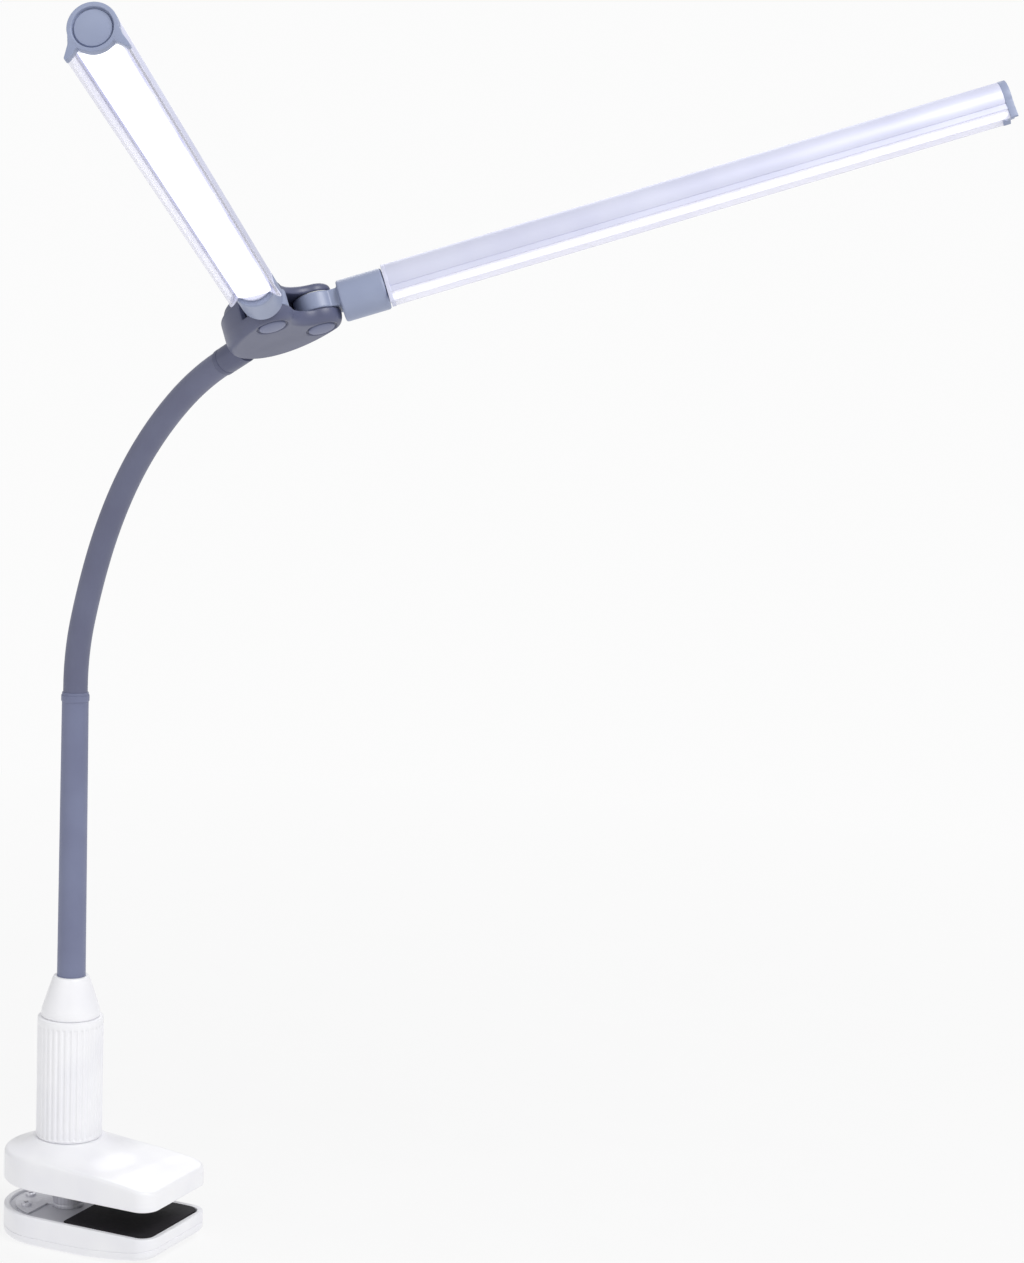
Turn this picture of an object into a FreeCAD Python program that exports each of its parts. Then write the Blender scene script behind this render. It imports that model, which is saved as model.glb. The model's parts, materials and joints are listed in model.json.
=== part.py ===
import FreeCAD, Part
import math
import os

# Clip-on reading lamp: a sprung desk clip, a ribbed post, a straight tube, a flexible neck
# and two light bars that pan in a hub and roll on their own axes.
# Millimetres, +Z up. The origin is the middle of the upper jaw's rubber face, on the desk top.
# +X runs along the clip towards its mouth.

V = FreeCAD.Vector
Z_AXIS = V(0, 0, 1)
CLEAR = 0.05            # running clearance of a pin or shaft, on the radius
GAP = 0.3               # free gap between moving curved faces

# --- clip -------------------------------------------------------------------------------
JAW_WIDTH = 60.0
JAW_REAR = -33.5        # measured from the post axis
JAW_FRONT = 67.5
JAW_CORNER = 9.5
JAW_EDGE = 3.0
PAD_REAR = 14.0         # rear edge of both rubber pads, from the post axis
PAD_INSET = 6.5
POST_X = -(PAD_REAR + JAW_FRONT - PAD_INSET) / 2
UPPER_BOTTOM = 1.0
UPPER_TOP = 16.0
UPPER_TOP_AT_MOUTH = 11.0
TAPER_START = 15.0      # where the jaws start to thin towards the mouth
COVER_THICK = 2.0
BOSS_TOP = 23.5
BOSS_RADIUS = 18.5
BOSS_FOOT_RADIUS = 26.0
LOWER_PAD_TOP = -12.7
LOWER_RIM = -13.0
LOWER_FLOOR = -14.5
LOWER_BOTTOM = -28.5
LOWER_BOTTOM_AT_MOUTH = -23.5
FLOOR_PLATE = 1.2
BRACKET_THICK = 1.0
BRACKET_RADIUS = 24.0
BRACKET_END = -9.0
SCREW_SPOTS = ((-17.0, -13.0), (-17.0, 13.0), (-23.0, 0.0), (40.0, 0.0))

JAW_WALL = 3.0
JAW_CEILING = 8.5       # inner height of the upper jaw's hollow, from the desk top
SCREW_HEAD = 1.6
POST_SCREW_CIRCLE = 14.3
POST_SCREW_RADIUS = 1.4
POST_SCREW_LENGTH = 24.0
GLAND_RADIUS = 4.5
GLAND_HEIGHT = 8.0
FLANGE_STEP = 0.4
CORD_RADIUS = 2.3       # bore of the gland

# --- column and return spring ------------------------------------------------------------
COLUMN_RADIUS = 8.0
COLUMN_TOP = 74.0
COLLAR_THICK = 3.0
COLLAR_RADIUS = 11.6
SPRING_WIRE = 1.6
SPRING_RADIUS = 10.2
SPRING_TURNS = 6.5
WIRE_SIDES = 8          # the spring's wire is drawn with this many flats
BUSH_TOP = 31.5

# --- post and tube -----------------------------------------------------------------------
POST_RADIUS = 16.9
POST_BORE = 12.4
POST_TOP = 87.3
POST_ROOF = 4.0
RIB_COUNT = 34
RIB_GROOVE = 0.85
RIB_TOP = 83.8
CONE_TOP = 108.6
CONE_FOOT_RADIUS = 15.0
CONE_TIP_RADIUS = 8.7
TUBE_FOOT_RADIUS = 7.4
TUBE_TIP_RADIUS = 6.7
TUBE_BORE = 4.5
STUD_RADIUS = 6.0

# --- flexible neck -----------------------------------------------------------------------
NECK_START = 258.7      # height of the first bend centre
NECK_RADIUS = 6.2
CORE_RADIUS = 4.0
NECK_YAW = -18.0        # the neck curves in a plane turned this far from +X
SEGMENT_LENGTH = 35.0
SEGMENT_TURNS = (16.0, 6.0, 8.5, 10.0, 9.5, 12.7)
SOCKET_RADIUS = NECK_RADIUS + GAP
FERRULE_LENGTH = 16.2
FERRULE_RADIUS = 6.6

# --- hub ---------------------------------------------------------------------------------
HUB_TWIST = -2.4        # roll of the hub about the neck's end
PIVOT_HALF = 15.3       # half the distance between the two bar pivots
STEM_DROP = 5.0         # the neck enters this far below the middle of the slot
HUB_REACH = 38.5        # from the hub's rear to the pivots
SLOT_HALF = 4.7
LOWER_PLATE = 6.5
UPPER_PLATE = 4.4
LOBE_RADIUS = 11.0
UPPER_INSET = 2.2
LOBE_BLEND = 40.0       # where each lobe meets the front notch, in degrees from forward
SLOT_RADIUS = 10.4
PIVOT_RADIUS = 3.0
WASHER_RADIUS = 8.5
WASHER_THICK = 0.45
CAP_RADIUS = 6.3
CAP_PROUD = 1.0
SCREW_BITE = 2.2        # how far the pivot screws reach into the upper shell

# --- light bars (x along the bar from its pivot, z along the hub's normal) ----------------
RIGHT_PAN = 42.0
LEFT_PAN = -49.9
RIGHT_ROLL = 12.0       # how far each bar is rolled at rest
LEFT_ROLL = -5.0
TONGUE_HALF = 4.2
TONGUE_RADIUS = 10.0
TONGUE_WIDTH = 13.0
CONNECTOR_START = 12.0
CONNECTOR_END = 34.0
CONNECTOR_RADIUS = 9.9
CONNECTOR_DROP = 1.0    # the roll axis runs this far below the middle of the tongue
SPINDLE_RADIUS = 3.5
RING_START = 34.3
RING_THICK = 1.9
BAR_END = 336.0
CAP_THICK = 3.5
SHELL_RADIUS = 9.2
SHELL_LIFT = 1.8        # the shell's centre stands this far above the roll axis
SHELL_WALL = 1.2
SHELL_SKIRT = -2.2      # lower edge of the round shell
WING_TIP = (11.5, -9.6)
WING_THICK = 1.3
DIFFUSER_HALF = 7.9
DIFFUSER_DROP = -7.4
BOARD_HALF = 6.2
BOARD_TOP = -1.4
BOARD_THICK = 1.2
LED_COUNT = 28
LED_SIZE = (3.5, 2.8, 0.8)


def write(name, shape):
    """Write one named node as a STEP file."""
    shape.exportStep("parts/" + name + ".step")


def cylinder(radius, z_low, z_high, x=0.0, y=0.0):
    return Part.makeCylinder(radius, z_high - z_low, V(x, y, z_low))


def box(x_low, x_high, y_low, y_high, z_low, z_high):
    return Part.makeBox(x_high - x_low, y_high - y_low, z_high - z_low, V(x_low, y_low, z_low))


def polygon_face(points):
    return Part.Face(Part.makePolygon(list(points) + [points[0]]))


def revolve_profile(points):
    """Turn (radius, z) points about the Z axis."""
    face = polygon_face([V(r, 0, z) for r, z in points])
    return face.revolve(V(0, 0, 0), Z_AXIS, 360)


def jaw_plan(inset, z):
    """Face of the jaw's plan: round at the rear, rounded corners at the mouth."""
    half = JAW_WIDTH / 2 - inset
    rear_centre = JAW_REAR + JAW_WIDTH / 2
    front = JAW_FRONT - inset
    corner = JAW_CORNER - inset
    diagonal = corner * math.sqrt(0.5)
    straight = front - corner
    edges = [
        Part.Arc(V(rear_centre, half, z), V(rear_centre - half, 0, z), V(rear_centre, -half, z)),
        Part.LineSegment(V(rear_centre, -half, z), V(straight, -half, z)),
        Part.Arc(V(straight, -half, z), V(straight + diagonal, corner - half - diagonal, z),
                 V(front, corner - half, z)),
        Part.LineSegment(V(front, corner - half, z), V(front, half - corner, z)),
        Part.Arc(V(front, half - corner, z), V(straight + diagonal, half - corner + diagonal, z),
                 V(straight, half, z)),
        Part.LineSegment(V(straight, half, z), V(rear_centre, half, z)),
    ]
    return Part.Face(Part.Wire([edge.toShape() for edge in edges]))


def jaw_side(flat, z_level, z_mouth):
    """Prism between the flat face and the other face, which bends towards it at the mouth."""
    rear, front = JAW_REAR - 1, JAW_FRONT + 1
    run = JAW_FRONT - TAPER_START
    sag = (z_mouth - z_level) * 0.25
    arc = Part.Arc(V(TAPER_START, 0, z_level), V(TAPER_START + run / 2, 0, z_level + sag),
                   V(JAW_FRONT, 0, z_mouth))
    end_slope = 2 * (z_mouth - z_level) / run
    z_front = z_mouth + end_slope
    edges = [
        Part.LineSegment(V(rear, 0, z_level), V(TAPER_START, 0, z_level)),
        arc,
        Part.LineSegment(V(JAW_FRONT, 0, z_mouth), V(front, 0, z_front)),
        Part.LineSegment(V(front, 0, z_front), V(front, 0, flat)),
        Part.LineSegment(V(front, 0, flat), V(rear, 0, flat)),
        Part.LineSegment(V(rear, 0, flat), V(rear, 0, z_level)),
    ]
    face = Part.Face(Part.Wire([edge.toShape() for edge in edges]))
    prism = face.extrude(V(0, JAW_WIDTH + 2, 0))
    prism.translate(V(0, -JAW_WIDTH / 2 - 1, 0))
    return prism


def jaw_block(flat, z_level, z_mouth):
    """Solid block of a jaw, with sharp edges."""
    low = min(flat, z_level)
    height = abs(flat - z_level)
    plan = jaw_plan(0, low).extrude(V(0, 0, height))
    return plan.common(jaw_side(flat, z_level, z_mouth))


def edges_away_from(shape, flat):
    """Edges that lie wholly off the flat face, which are the ones to round."""
    picked = []
    for edge in shape.Edges:
        heights = [vertex.Z for vertex in edge.Vertexes]
        if min(abs(height - flat) for height in heights) > JAW_EDGE:
            picked.append(edge)
    return picked


def at_post(shape):
    """Move a shape drawn about the post axis to its place."""
    shape.translate(V(POST_X, 0, 0))
    return shape


def screw(x, y, z_head, length, radius=1.5, head_radius=2.8, head_height=SCREW_HEAD):
    """Pan-head screw pointing down, with a cross recess."""
    body = cylinder(head_radius, z_head - head_height, z_head, x, y)
    body = body.fuse(cylinder(radius, z_head - length, z_head - head_height, x, y))
    arm = head_radius * 0.6
    slot = box(x - arm, x + arm, y - 0.35, y + 0.35, z_head - 0.8, z_head + 1)
    cross = slot.fuse(box(x - 0.35, x + 0.35, y - arm, y + arm, z_head - 0.8, z_head + 1))
    return body.cut(cross)


def make_upper_jaw():
    outer = jaw_block(UPPER_BOTTOM, UPPER_TOP, UPPER_TOP_AT_MOUTH)
    outer = outer.makeFillet(JAW_EDGE, edges_away_from(outer, UPPER_BOTTOM))
    boss_arc = Part.Arc(V(BOSS_RADIUS, 0, BOSS_TOP), V(BOSS_RADIUS + 2.6, 0, BOSS_TOP - 4.9),
                        V(BOSS_FOOT_RADIUS, 0, UPPER_TOP))
    foot = UPPER_TOP - 3
    boss_edges = [
        boss_arc,
        Part.LineSegment(V(BOSS_FOOT_RADIUS, 0, UPPER_TOP), V(BOSS_FOOT_RADIUS - 3, 0, foot)),
        Part.LineSegment(V(BOSS_FOOT_RADIUS - 3, 0, foot), V(0, 0, foot)),
        Part.LineSegment(V(0, 0, foot), V(0, 0, BOSS_TOP)),
        Part.LineSegment(V(0, 0, BOSS_TOP), V(BOSS_RADIUS, 0, BOSS_TOP)),
    ]
    boss_face = Part.Face(Part.Wire([edge.toShape() for edge in boss_edges]))
    boss = boss_face.revolve(V(0, 0, 0), Z_AXIS, 360)
    jaw = outer.fuse(boss).removeSplitter()
    cavity = jaw_plan(JAW_WALL, UPPER_BOTTOM - 1).extrude(V(0, 0, JAW_CEILING))
    jaw = jaw.cut(cavity)
    jaw = jaw.cut(cylinder(POST_BORE, 0, BOSS_TOP + 1))
    for x, y in post_screw_spots():
        jaw = jaw.cut(cylinder(POST_SCREW_RADIUS + 0.2, 0, BOSS_TOP + 1, x, y))
    gland_hole = Part.makeCylinder(GLAND_RADIUS, 10, V(JAW_REAR - 2, 0, GLAND_HEIGHT), V(1, 0, 0))
    pocket = Part.makeCylinder(GLAND_RADIUS + FLANGE_STEP + 0.1, 2.6, V(JAW_REAR + 3, 0, GLAND_HEIGHT),
                               V(1, 0, 0))
    return at_post(jaw.cut(gland_hole).cut(pocket))


def post_screw_spots():
    """Three screws that hold the post to the upper jaw."""
    spots = []
    for index in range(3):
        angle = math.radians(60 + 120 * index)
        spots.append((POST_SCREW_CIRCLE * math.cos(angle), POST_SCREW_CIRCLE * math.sin(angle)))
    return spots


def make_post_screws():
    screws = []
    for x, y in post_screw_spots():
        one = screw(x, y, 0, POST_SCREW_LENGTH, radius=POST_SCREW_RADIUS, head_radius=2.0)
        one.rotate(V(x, y, 0), V(1, 0, 0), 180)
        one.translate(V(0, 0, JAW_CEILING - SCREW_HEAD))
        screws.append(one)
    return at_post(Part.Compound(screws))


def make_cover_plate():
    """Plate that closes the upper jaw and carries its pad."""
    plate = jaw_plan(JAW_WALL + 0.15, UPPER_BOTTOM).extrude(V(0, 0, COVER_THICK))
    return at_post(plate.cut(cylinder(COLUMN_RADIUS + 0.6, 0, 5)))


def pad_plan(z, thick):
    plan = jaw_plan(PAD_INSET, z).extrude(V(0, 0, thick))
    return plan.common(box(PAD_REAR, JAW_FRONT, -JAW_WIDTH, JAW_WIDTH, z - 1, z + thick + 1))


def make_upper_pad():
    return at_post(pad_plan(0, UPPER_BOTTOM))


def make_cable_gland():
    """Rubber inlet for the supply cord, through the rear wall of the upper jaw."""
    along = V(1, 0, 0)
    rear = JAW_REAR
    body = Part.makeCylinder(GLAND_RADIUS, 6.5, V(rear - 1.0, 0, GLAND_HEIGHT), along)
    lip = Part.makeCone(GLAND_RADIUS + 0.1, GLAND_RADIUS + 1.3, 2.0,
                        V(rear - 2.6, 0, GLAND_HEIGHT), along)
    flange = Part.makeCylinder(GLAND_RADIUS + FLANGE_STEP, 1.6, V(rear + 3.7, 0, GLAND_HEIGHT), along)
    bore = Part.makeCylinder(CORD_RADIUS, 20, V(rear - 5, 0, GLAND_HEIGHT), along)
    return at_post(body.fuse(lip).fuse(flange).cut(bore))


def make_lower_jaw():
    outer = jaw_block(LOWER_RIM, LOWER_BOTTOM, LOWER_BOTTOM_AT_MOUTH)
    outer = outer.makeFillet(JAW_EDGE + 0.5, edges_away_from(outer, LOWER_RIM))
    ledge = LOWER_FLOOR - FLOOR_PLATE
    jaw = outer.cut(jaw_plan(2.5, ledge).extrude(V(0, 0, 10)))
    depth = ledge - LOWER_BOTTOM_AT_MOUTH - 2
    cavity = jaw_plan(4.5, ledge - depth).extrude(V(0, 0, depth + 1))
    for x, y in SCREW_SPOTS:
        cavity = cavity.cut(cylinder(3.5, ledge - depth - 1, ledge + 2, x, y))
        jaw = jaw.cut(cylinder(1.5, ledge - depth, ledge + 1, x, y))
    return at_post(jaw.cut(cavity))


def make_floor_plate():
    plate = jaw_plan(2.6, LOWER_FLOOR - FLOOR_PLATE).extrude(V(0, 0, FLOOR_PLATE))
    for x, y in SCREW_SPOTS:
        plate = plate.cut(cylinder(1.6, LOWER_FLOOR - 5, LOWER_FLOOR + 1, x, y))
    return at_post(plate)


def make_lower_pad():
    plan = jaw_plan(2.8, LOWER_FLOOR).extrude(V(0, 0, LOWER_PAD_TOP - LOWER_FLOOR))
    front = box(PAD_REAR, JAW_FRONT, -JAW_WIDTH, JAW_WIDTH, LOWER_FLOOR - 1, 0)
    pocket = cylinder(3.0, LOWER_FLOOR - 1, LOWER_FLOOR + 1.2, *SCREW_SPOTS[3])
    return at_post(plan.common(front).cut(pocket))


def make_bracket_plate():
    """Half-round steel plate that ties the column to the lower jaw."""
    plate = cylinder(BRACKET_RADIUS, LOWER_FLOOR, LOWER_FLOOR + BRACKET_THICK,
                     JAW_REAR + JAW_WIDTH / 2, 0)
    rear = box(JAW_REAR, BRACKET_END, -40, 40, LOWER_FLOOR - 1, LOWER_FLOOR + 3)
    tongue = box(BRACKET_END - 1, 0, -6, 6, LOWER_FLOOR, LOWER_FLOOR + BRACKET_THICK)
    plate = plate.common(rear).fuse(tongue).removeSplitter()
    plate = plate.cut(cylinder(COLUMN_RADIUS, LOWER_FLOOR - 1, LOWER_FLOOR + 3))
    for x, y in SCREW_SPOTS[:3]:
        plate = plate.cut(cylinder(1.6, LOWER_FLOOR - 1, LOWER_FLOOR + 3, x, y))
    return at_post(plate)


def make_jaw_screws():
    screws = []
    for x, y in SCREW_SPOTS[:3]:
        head = LOWER_FLOOR + BRACKET_THICK + 1.3
        screws.append(screw(x, y, head, 9.0, head_height=1.3))
    x, y = SCREW_SPOTS[3]
    screws.append(screw(x, y, LOWER_FLOOR + 1.1, 6.5, head_height=1.1))
    return at_post(Part.Compound(screws))


def make_column():
    column = cylinder(COLUMN_RADIUS, LOWER_FLOOR, COLUMN_TOP - COLLAR_THICK)
    bore = cylinder(COLUMN_RADIUS - 2, LOWER_FLOOR + 3, COLUMN_TOP)
    return at_post(column.cut(bore))


def make_collar():
    """Collar on the column's top that the return spring pushes against."""
    collar = cylinder(COLLAR_RADIUS, COLUMN_TOP - COLLAR_THICK, COLUMN_TOP)
    return at_post(collar.cut(cylinder(2.5, 0, COLUMN_TOP + 1)))


def make_guide_bush():
    bush = cylinder(POST_BORE, BOSS_TOP - 7, BUSH_TOP)
    return at_post(bush.cut(cylinder(COLUMN_RADIUS + CLEAR, 0, BUSH_TOP + 1)))


def make_return_spring():
    low = BUSH_TOP + SPRING_WIRE / 2
    high = COLUMN_TOP - COLLAR_THICK - SPRING_WIRE / 2
    helix = Part.makeHelix((high - low) / SPRING_TURNS, high - low, SPRING_RADIUS)
    start = V(SPRING_RADIUS, 0, 0)
    corners = []
    for index in range(WIRE_SIDES):
        angle = 2 * math.pi * (index + 0.5) / WIRE_SIDES
        corners.append(start + V(math.cos(angle), 0, math.sin(angle)) * (SPRING_WIRE / 2))
    wire = Part.makePolygon(corners + [corners[0]])
    spring = Part.Wire(helix).makePipeShell([wire], True, True)
    spring.translate(V(0, 0, low))
    return at_post(spring)


def make_post():
    post = cylinder(POST_RADIUS, BOSS_TOP, POST_TOP)
    post = post.makeChamfer(0.6, [post.Edges[0], post.Edges[2]])
    grooves = []
    for index in range(RIB_COUNT):
        angle = 2 * math.pi * index / RIB_COUNT
        x, y = POST_RADIUS * math.cos(angle), POST_RADIUS * math.sin(angle)
        grooves.append(cylinder(RIB_GROOVE, BOSS_TOP + 1.5, RIB_TOP, x, y))
    post = post.cut(Part.Compound(grooves))
    post = post.cut(cylinder(POST_BORE, BOSS_TOP - 1, POST_TOP - POST_ROOF))
    post = post.cut(cylinder(STUD_RADIUS, 0, POST_TOP + 1))
    for x, y in post_screw_spots():
        post = post.cut(cylinder(POST_SCREW_RADIUS, BOSS_TOP - 1, BOSS_TOP + 10, x, y))
    return at_post(post)


def make_cone():
    outer = [(7.0, POST_TOP), (CONE_FOOT_RADIUS, POST_TOP), (CONE_FOOT_RADIUS, POST_TOP + 3.5),
             (CONE_TIP_RADIUS + 0.5, CONE_TOP - 1.0), (CONE_TIP_RADIUS - 0.3, CONE_TOP),
             (TUBE_FOOT_RADIUS, CONE_TOP), (TUBE_FOOT_RADIUS, POST_TOP + 4),
             (7.0, POST_TOP + 4)]
    return at_post(revolve_profile(outer))


def make_lower_tube():
    """Straight tube with a threaded stud below and a cup above for the neck's first ball."""
    foot = POST_TOP + 4
    tip = NECK_START - 2.2
    stud_foot = POST_TOP - POST_ROOF - 7.5
    tube = Part.makeCone(TUBE_FOOT_RADIUS, TUBE_TIP_RADIUS, tip - foot, V(0, 0, foot))
    tube = tube.fuse(cylinder(STUD_RADIUS, stud_foot, foot))
    tube = tube.cut(cylinder(TUBE_BORE, stud_foot - 1, tip - 12))
    return at_post(tube.cut(Part.makeSphere(SOCKET_RADIUS, V(0, 0, NECK_START))))


def make_tube_ring():
    low, high = NECK_START - 7.0, NECK_START - 3.6
    ring = cylinder(TUBE_TIP_RADIUS + 0.45, low, high)
    return at_post(ring.cut(cylinder(TUBE_TIP_RADIUS + 0.03, low - 1, high + 1)))


def make_tube_nut():
    """Hexagon nut that pulls the tube down on to the post's roof."""
    high = POST_TOP - POST_ROOF
    points = []
    for index in range(6):
        angle = math.pi * index / 3
        points.append(V(10 * math.cos(angle), 10 * math.sin(angle), high - 6))
    nut = polygon_face(points).extrude(V(0, 0, 6))
    return at_post(nut.cut(cylinder(STUD_RADIUS, 0, high + 1)))


# --- neck ----------------------------------------------------------------------------------

YAW = math.radians(NECK_YAW)
PLANE_X = V(math.cos(YAW), math.sin(YAW), 0)
PLANE_NORMAL = V(-math.sin(YAW), math.cos(YAW), 0)


def plane_point(reach, height):
    return V(POST_X, 0, 0) + PLANE_X * reach + Z_AXIS * height


def neck_direction(angle):
    """Unit vector along the neck where it has turned this far from the vertical."""
    return PLANE_X * math.sin(angle) + Z_AXIS * math.cos(angle)


def neck_stations():
    """Bend centres and turn angles at the ends of the segments."""
    stations = []
    reach, height, angle = 0.0, NECK_START, 0.0
    stations.append((plane_point(reach, height), angle))
    for turn_degrees in SEGMENT_TURNS:
        turn = math.radians(turn_degrees)
        radius = SEGMENT_LENGTH / turn
        reach += radius * (math.cos(angle) - math.cos(angle + turn))
        height += radius * (math.sin(angle + turn) - math.sin(angle))
        angle += turn
        stations.append((plane_point(reach, height), angle))
    return stations


def arc_tube(start, angle, turn_degrees, radius):
    """One curved length of the neck, as a round bar of this radius."""
    bend_radius = SEGMENT_LENGTH / math.radians(turn_degrees)
    across = PLANE_X * math.cos(angle) - Z_AXIS * math.sin(angle)
    centre = start + across * bend_radius
    face = Part.Face(Part.Wire(Part.Circle(start, neck_direction(angle), radius).toShape()))
    return face.revolve(centre, PLANE_NORMAL, turn_degrees)


def make_neck_segment(index, stations):
    """Sleeve and core of one segment: a ball at its foot and, but for the last, a cup above."""
    start, angle = stations[index]
    end = stations[index + 1][0]
    turn = SEGMENT_TURNS[index]
    along = neck_direction(angle)
    whole = arc_tube(start, angle, turn, NECK_RADIUS).fuse(Part.makeSphere(NECK_RADIUS, start))
    inner = arc_tube(start, angle, turn, CORE_RADIUS)
    inner = inner.fuse(Part.makeCylinder(CORE_RADIUS, 9, start - along * 9, along))
    if index < len(SEGMENT_TURNS) - 1:
        whole = whole.cut(Part.makeSphere(SOCKET_RADIUS, end))
    whole = whole.removeSplitter()
    return whole.cut(inner), whole.common(inner)


# --- hub -----------------------------------------------------------------------------------

def hub_axes(stations):
    """Forward, sideways and normal unit vectors of the hub, and the middle of its pivots."""
    end, angle = stations[-1]
    forward = neck_direction(angle)
    twist = math.radians(HUB_TWIST)
    plain_normal = forward.cross(PLANE_NORMAL)
    side = PLANE_NORMAL * math.cos(twist) + plain_normal * math.sin(twist)
    normal = forward.cross(side)
    centre = end + forward * (FERRULE_LENGTH + HUB_REACH) + normal * STEM_DROP
    return forward, side, normal, centre


def placement(origin, x_dir, y_dir, z_dir):
    matrix = FreeCAD.Matrix(x_dir.x, y_dir.x, z_dir.x, origin.x,
                            x_dir.y, y_dir.y, z_dir.y, origin.y,
                            x_dir.z, y_dir.z, z_dir.z, origin.z,
                            0, 0, 0, 1)
    return FreeCAD.Placement(matrix)


def hub_plan(inset, z_low, z_high):
    """Butterfly plan of the hub: round lobes at the pivots, an oval rear, a notch in front."""
    lobe = LOBE_RADIUS - inset
    half_width = PIVOT_HALF + lobe
    blend = math.radians(LOBE_BLEND)
    top_angle = math.radians(30)
    notch_radius = (PIVOT_HALF - LOBE_RADIUS * math.sin(blend)) / math.sin(blend) + inset
    notch_centre = (LOBE_RADIUS + notch_radius - inset) * math.cos(blend)
    corner_x = lobe * math.cos(blend)
    corner_y = PIVOT_HALF - lobe * math.sin(blend)
    front_x = lobe * math.cos(top_angle)
    front_y = PIVOT_HALF + lobe * math.sin(top_angle)
    reach = HUB_REACH - inset
    oval = Part.Ellipse(V(-reach, 0, z_low), V(0, half_width, z_low), V(0, 0, z_low))
    edges = [
        Part.Arc(oval, -math.pi / 2, math.pi / 2),
        Part.Arc(V(0, half_width, z_low), V(front_x, front_y, z_low),
                 V(corner_x, corner_y, z_low)),
        Part.Arc(V(corner_x, corner_y, z_low), V(notch_centre - notch_radius, 0, z_low),
                 V(corner_x, -corner_y, z_low)),
        Part.Arc(V(corner_x, -corner_y, z_low), V(front_x, -front_y, z_low),
                 V(0, -half_width, z_low)),
    ]
    wire = Part.Wire(Part.__sortEdges__([edge.toShape() for edge in edges]))
    return Part.Face(wire).extrude(V(0, 0, z_high - z_low))


def slot_cut():
    """Room between the plates for the two tongues to swing."""
    cut = box(-7, 60, -60, 60, -SLOT_HALF, SLOT_HALF)
    for side in (-1, 1):
        cut = cut.fuse(cylinder(SLOT_RADIUS, -SLOT_HALF, SLOT_HALF, 0, side * PIVOT_HALF))
    return cut


def face_edges(shape, z, tolerance=0.01):
    """Edges that lie in the plane at this height."""
    picked = []
    for edge in shape.Edges:
        bounds = edge.BoundBox
        if abs(bounds.ZMin - z) < tolerance and abs(bounds.ZMax - z) < tolerance:
            picked.append(edge)
    return picked


def make_hub_lower():
    bottom = -SLOT_HALF - LOWER_PLATE
    shell = hub_plan(0, bottom, SLOT_HALF)
    shell = shell.makeChamfer(2.2, face_edges(shell, bottom)).cut(slot_cut())
    for side in (-1, 1):
        y = side * PIVOT_HALF
        shell = shell.cut(cylinder(CAP_RADIUS, bottom - 1, bottom + 1.4, 0, y))
        shell = shell.cut(cylinder(5.2, bottom, bottom + 3.8, 0, y))
        shell = shell.cut(cylinder(PIVOT_RADIUS, bottom, 0, 0, y))
    stem = Part.makeCylinder(CORE_RADIUS, 12, V(-HUB_REACH - 1, 0, -STEM_DROP), V(1, 0, 0))
    return shell.cut(stem)


def make_hub_upper():
    top = SLOT_HALF + UPPER_PLATE
    shell = hub_plan(UPPER_INSET, SLOT_HALF, top)
    shell = shell.makeChamfer(1.6, face_edges(shell, top))
    for side in (-1, 1):
        shell = shell.cut(cylinder(PIVOT_RADIUS, 0, SLOT_HALF + SCREW_BITE, 0, side * PIVOT_HALF))
    return shell


def make_pivot_screws():
    """Two shoulder screws that the tongues turn on."""
    bottom = -SLOT_HALF - LOWER_PLATE
    screws = []
    for side in (-1, 1):
        y = side * PIVOT_HALF
        shaft = cylinder(PIVOT_RADIUS, bottom + 3.8, SLOT_HALF + SCREW_BITE, 0, y)
        head = cylinder(5.0, bottom + 1.6, bottom + 3.8, 0, y)
        screws.append(shaft.fuse(head))
    return Part.Compound(screws)


def make_pivot_cap(side):
    """Round domed cover over a pivot screw's head."""
    bottom = -SLOT_HALF - LOWER_PLATE
    cap = cylinder(CAP_RADIUS - 0.05, bottom - CAP_PROUD, bottom + 1.4, 0, side * PIVOT_HALF)
    return cap.makeFillet(0.7, face_edges(cap, bottom - CAP_PROUD))


def make_washers():
    washers = []
    for side in (-1, 1):
        for low in (-SLOT_HALF, SLOT_HALF - WASHER_THICK):
            ring = cylinder(WASHER_RADIUS, low, low + WASHER_THICK, 0, side * PIVOT_HALF)
            hole = cylinder(PIVOT_RADIUS, low - 1, low + 1.5, 0, side * PIVOT_HALF)
            washers.append(ring.cut(hole))
    return Part.Compound(washers)


def make_ferrule():
    """Collar between the neck's sleeve and the hub, with a spigot into the hub."""
    start = -HUB_REACH - FERRULE_LENGTH
    along = V(1, 0, 0)
    body = Part.makeCylinder(FERRULE_RADIUS, FERRULE_LENGTH, V(start, 0, -STEM_DROP), along)
    spigot = Part.makeCylinder(CORE_RADIUS, 10, V(-HUB_REACH, 0, -STEM_DROP), along)
    bore = Part.makeCylinder(2.0, FERRULE_LENGTH + 12, V(start - 1, 0, -STEM_DROP), along)
    return body.fuse(spigot).cut(bore)


# --- light bars ------------------------------------------------------------------------------

def along_bar(radius, x_low, x_high):
    return Part.makeCylinder(radius, x_high - x_low, V(x_low, 0, 0), V(1, 0, 0))


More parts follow.
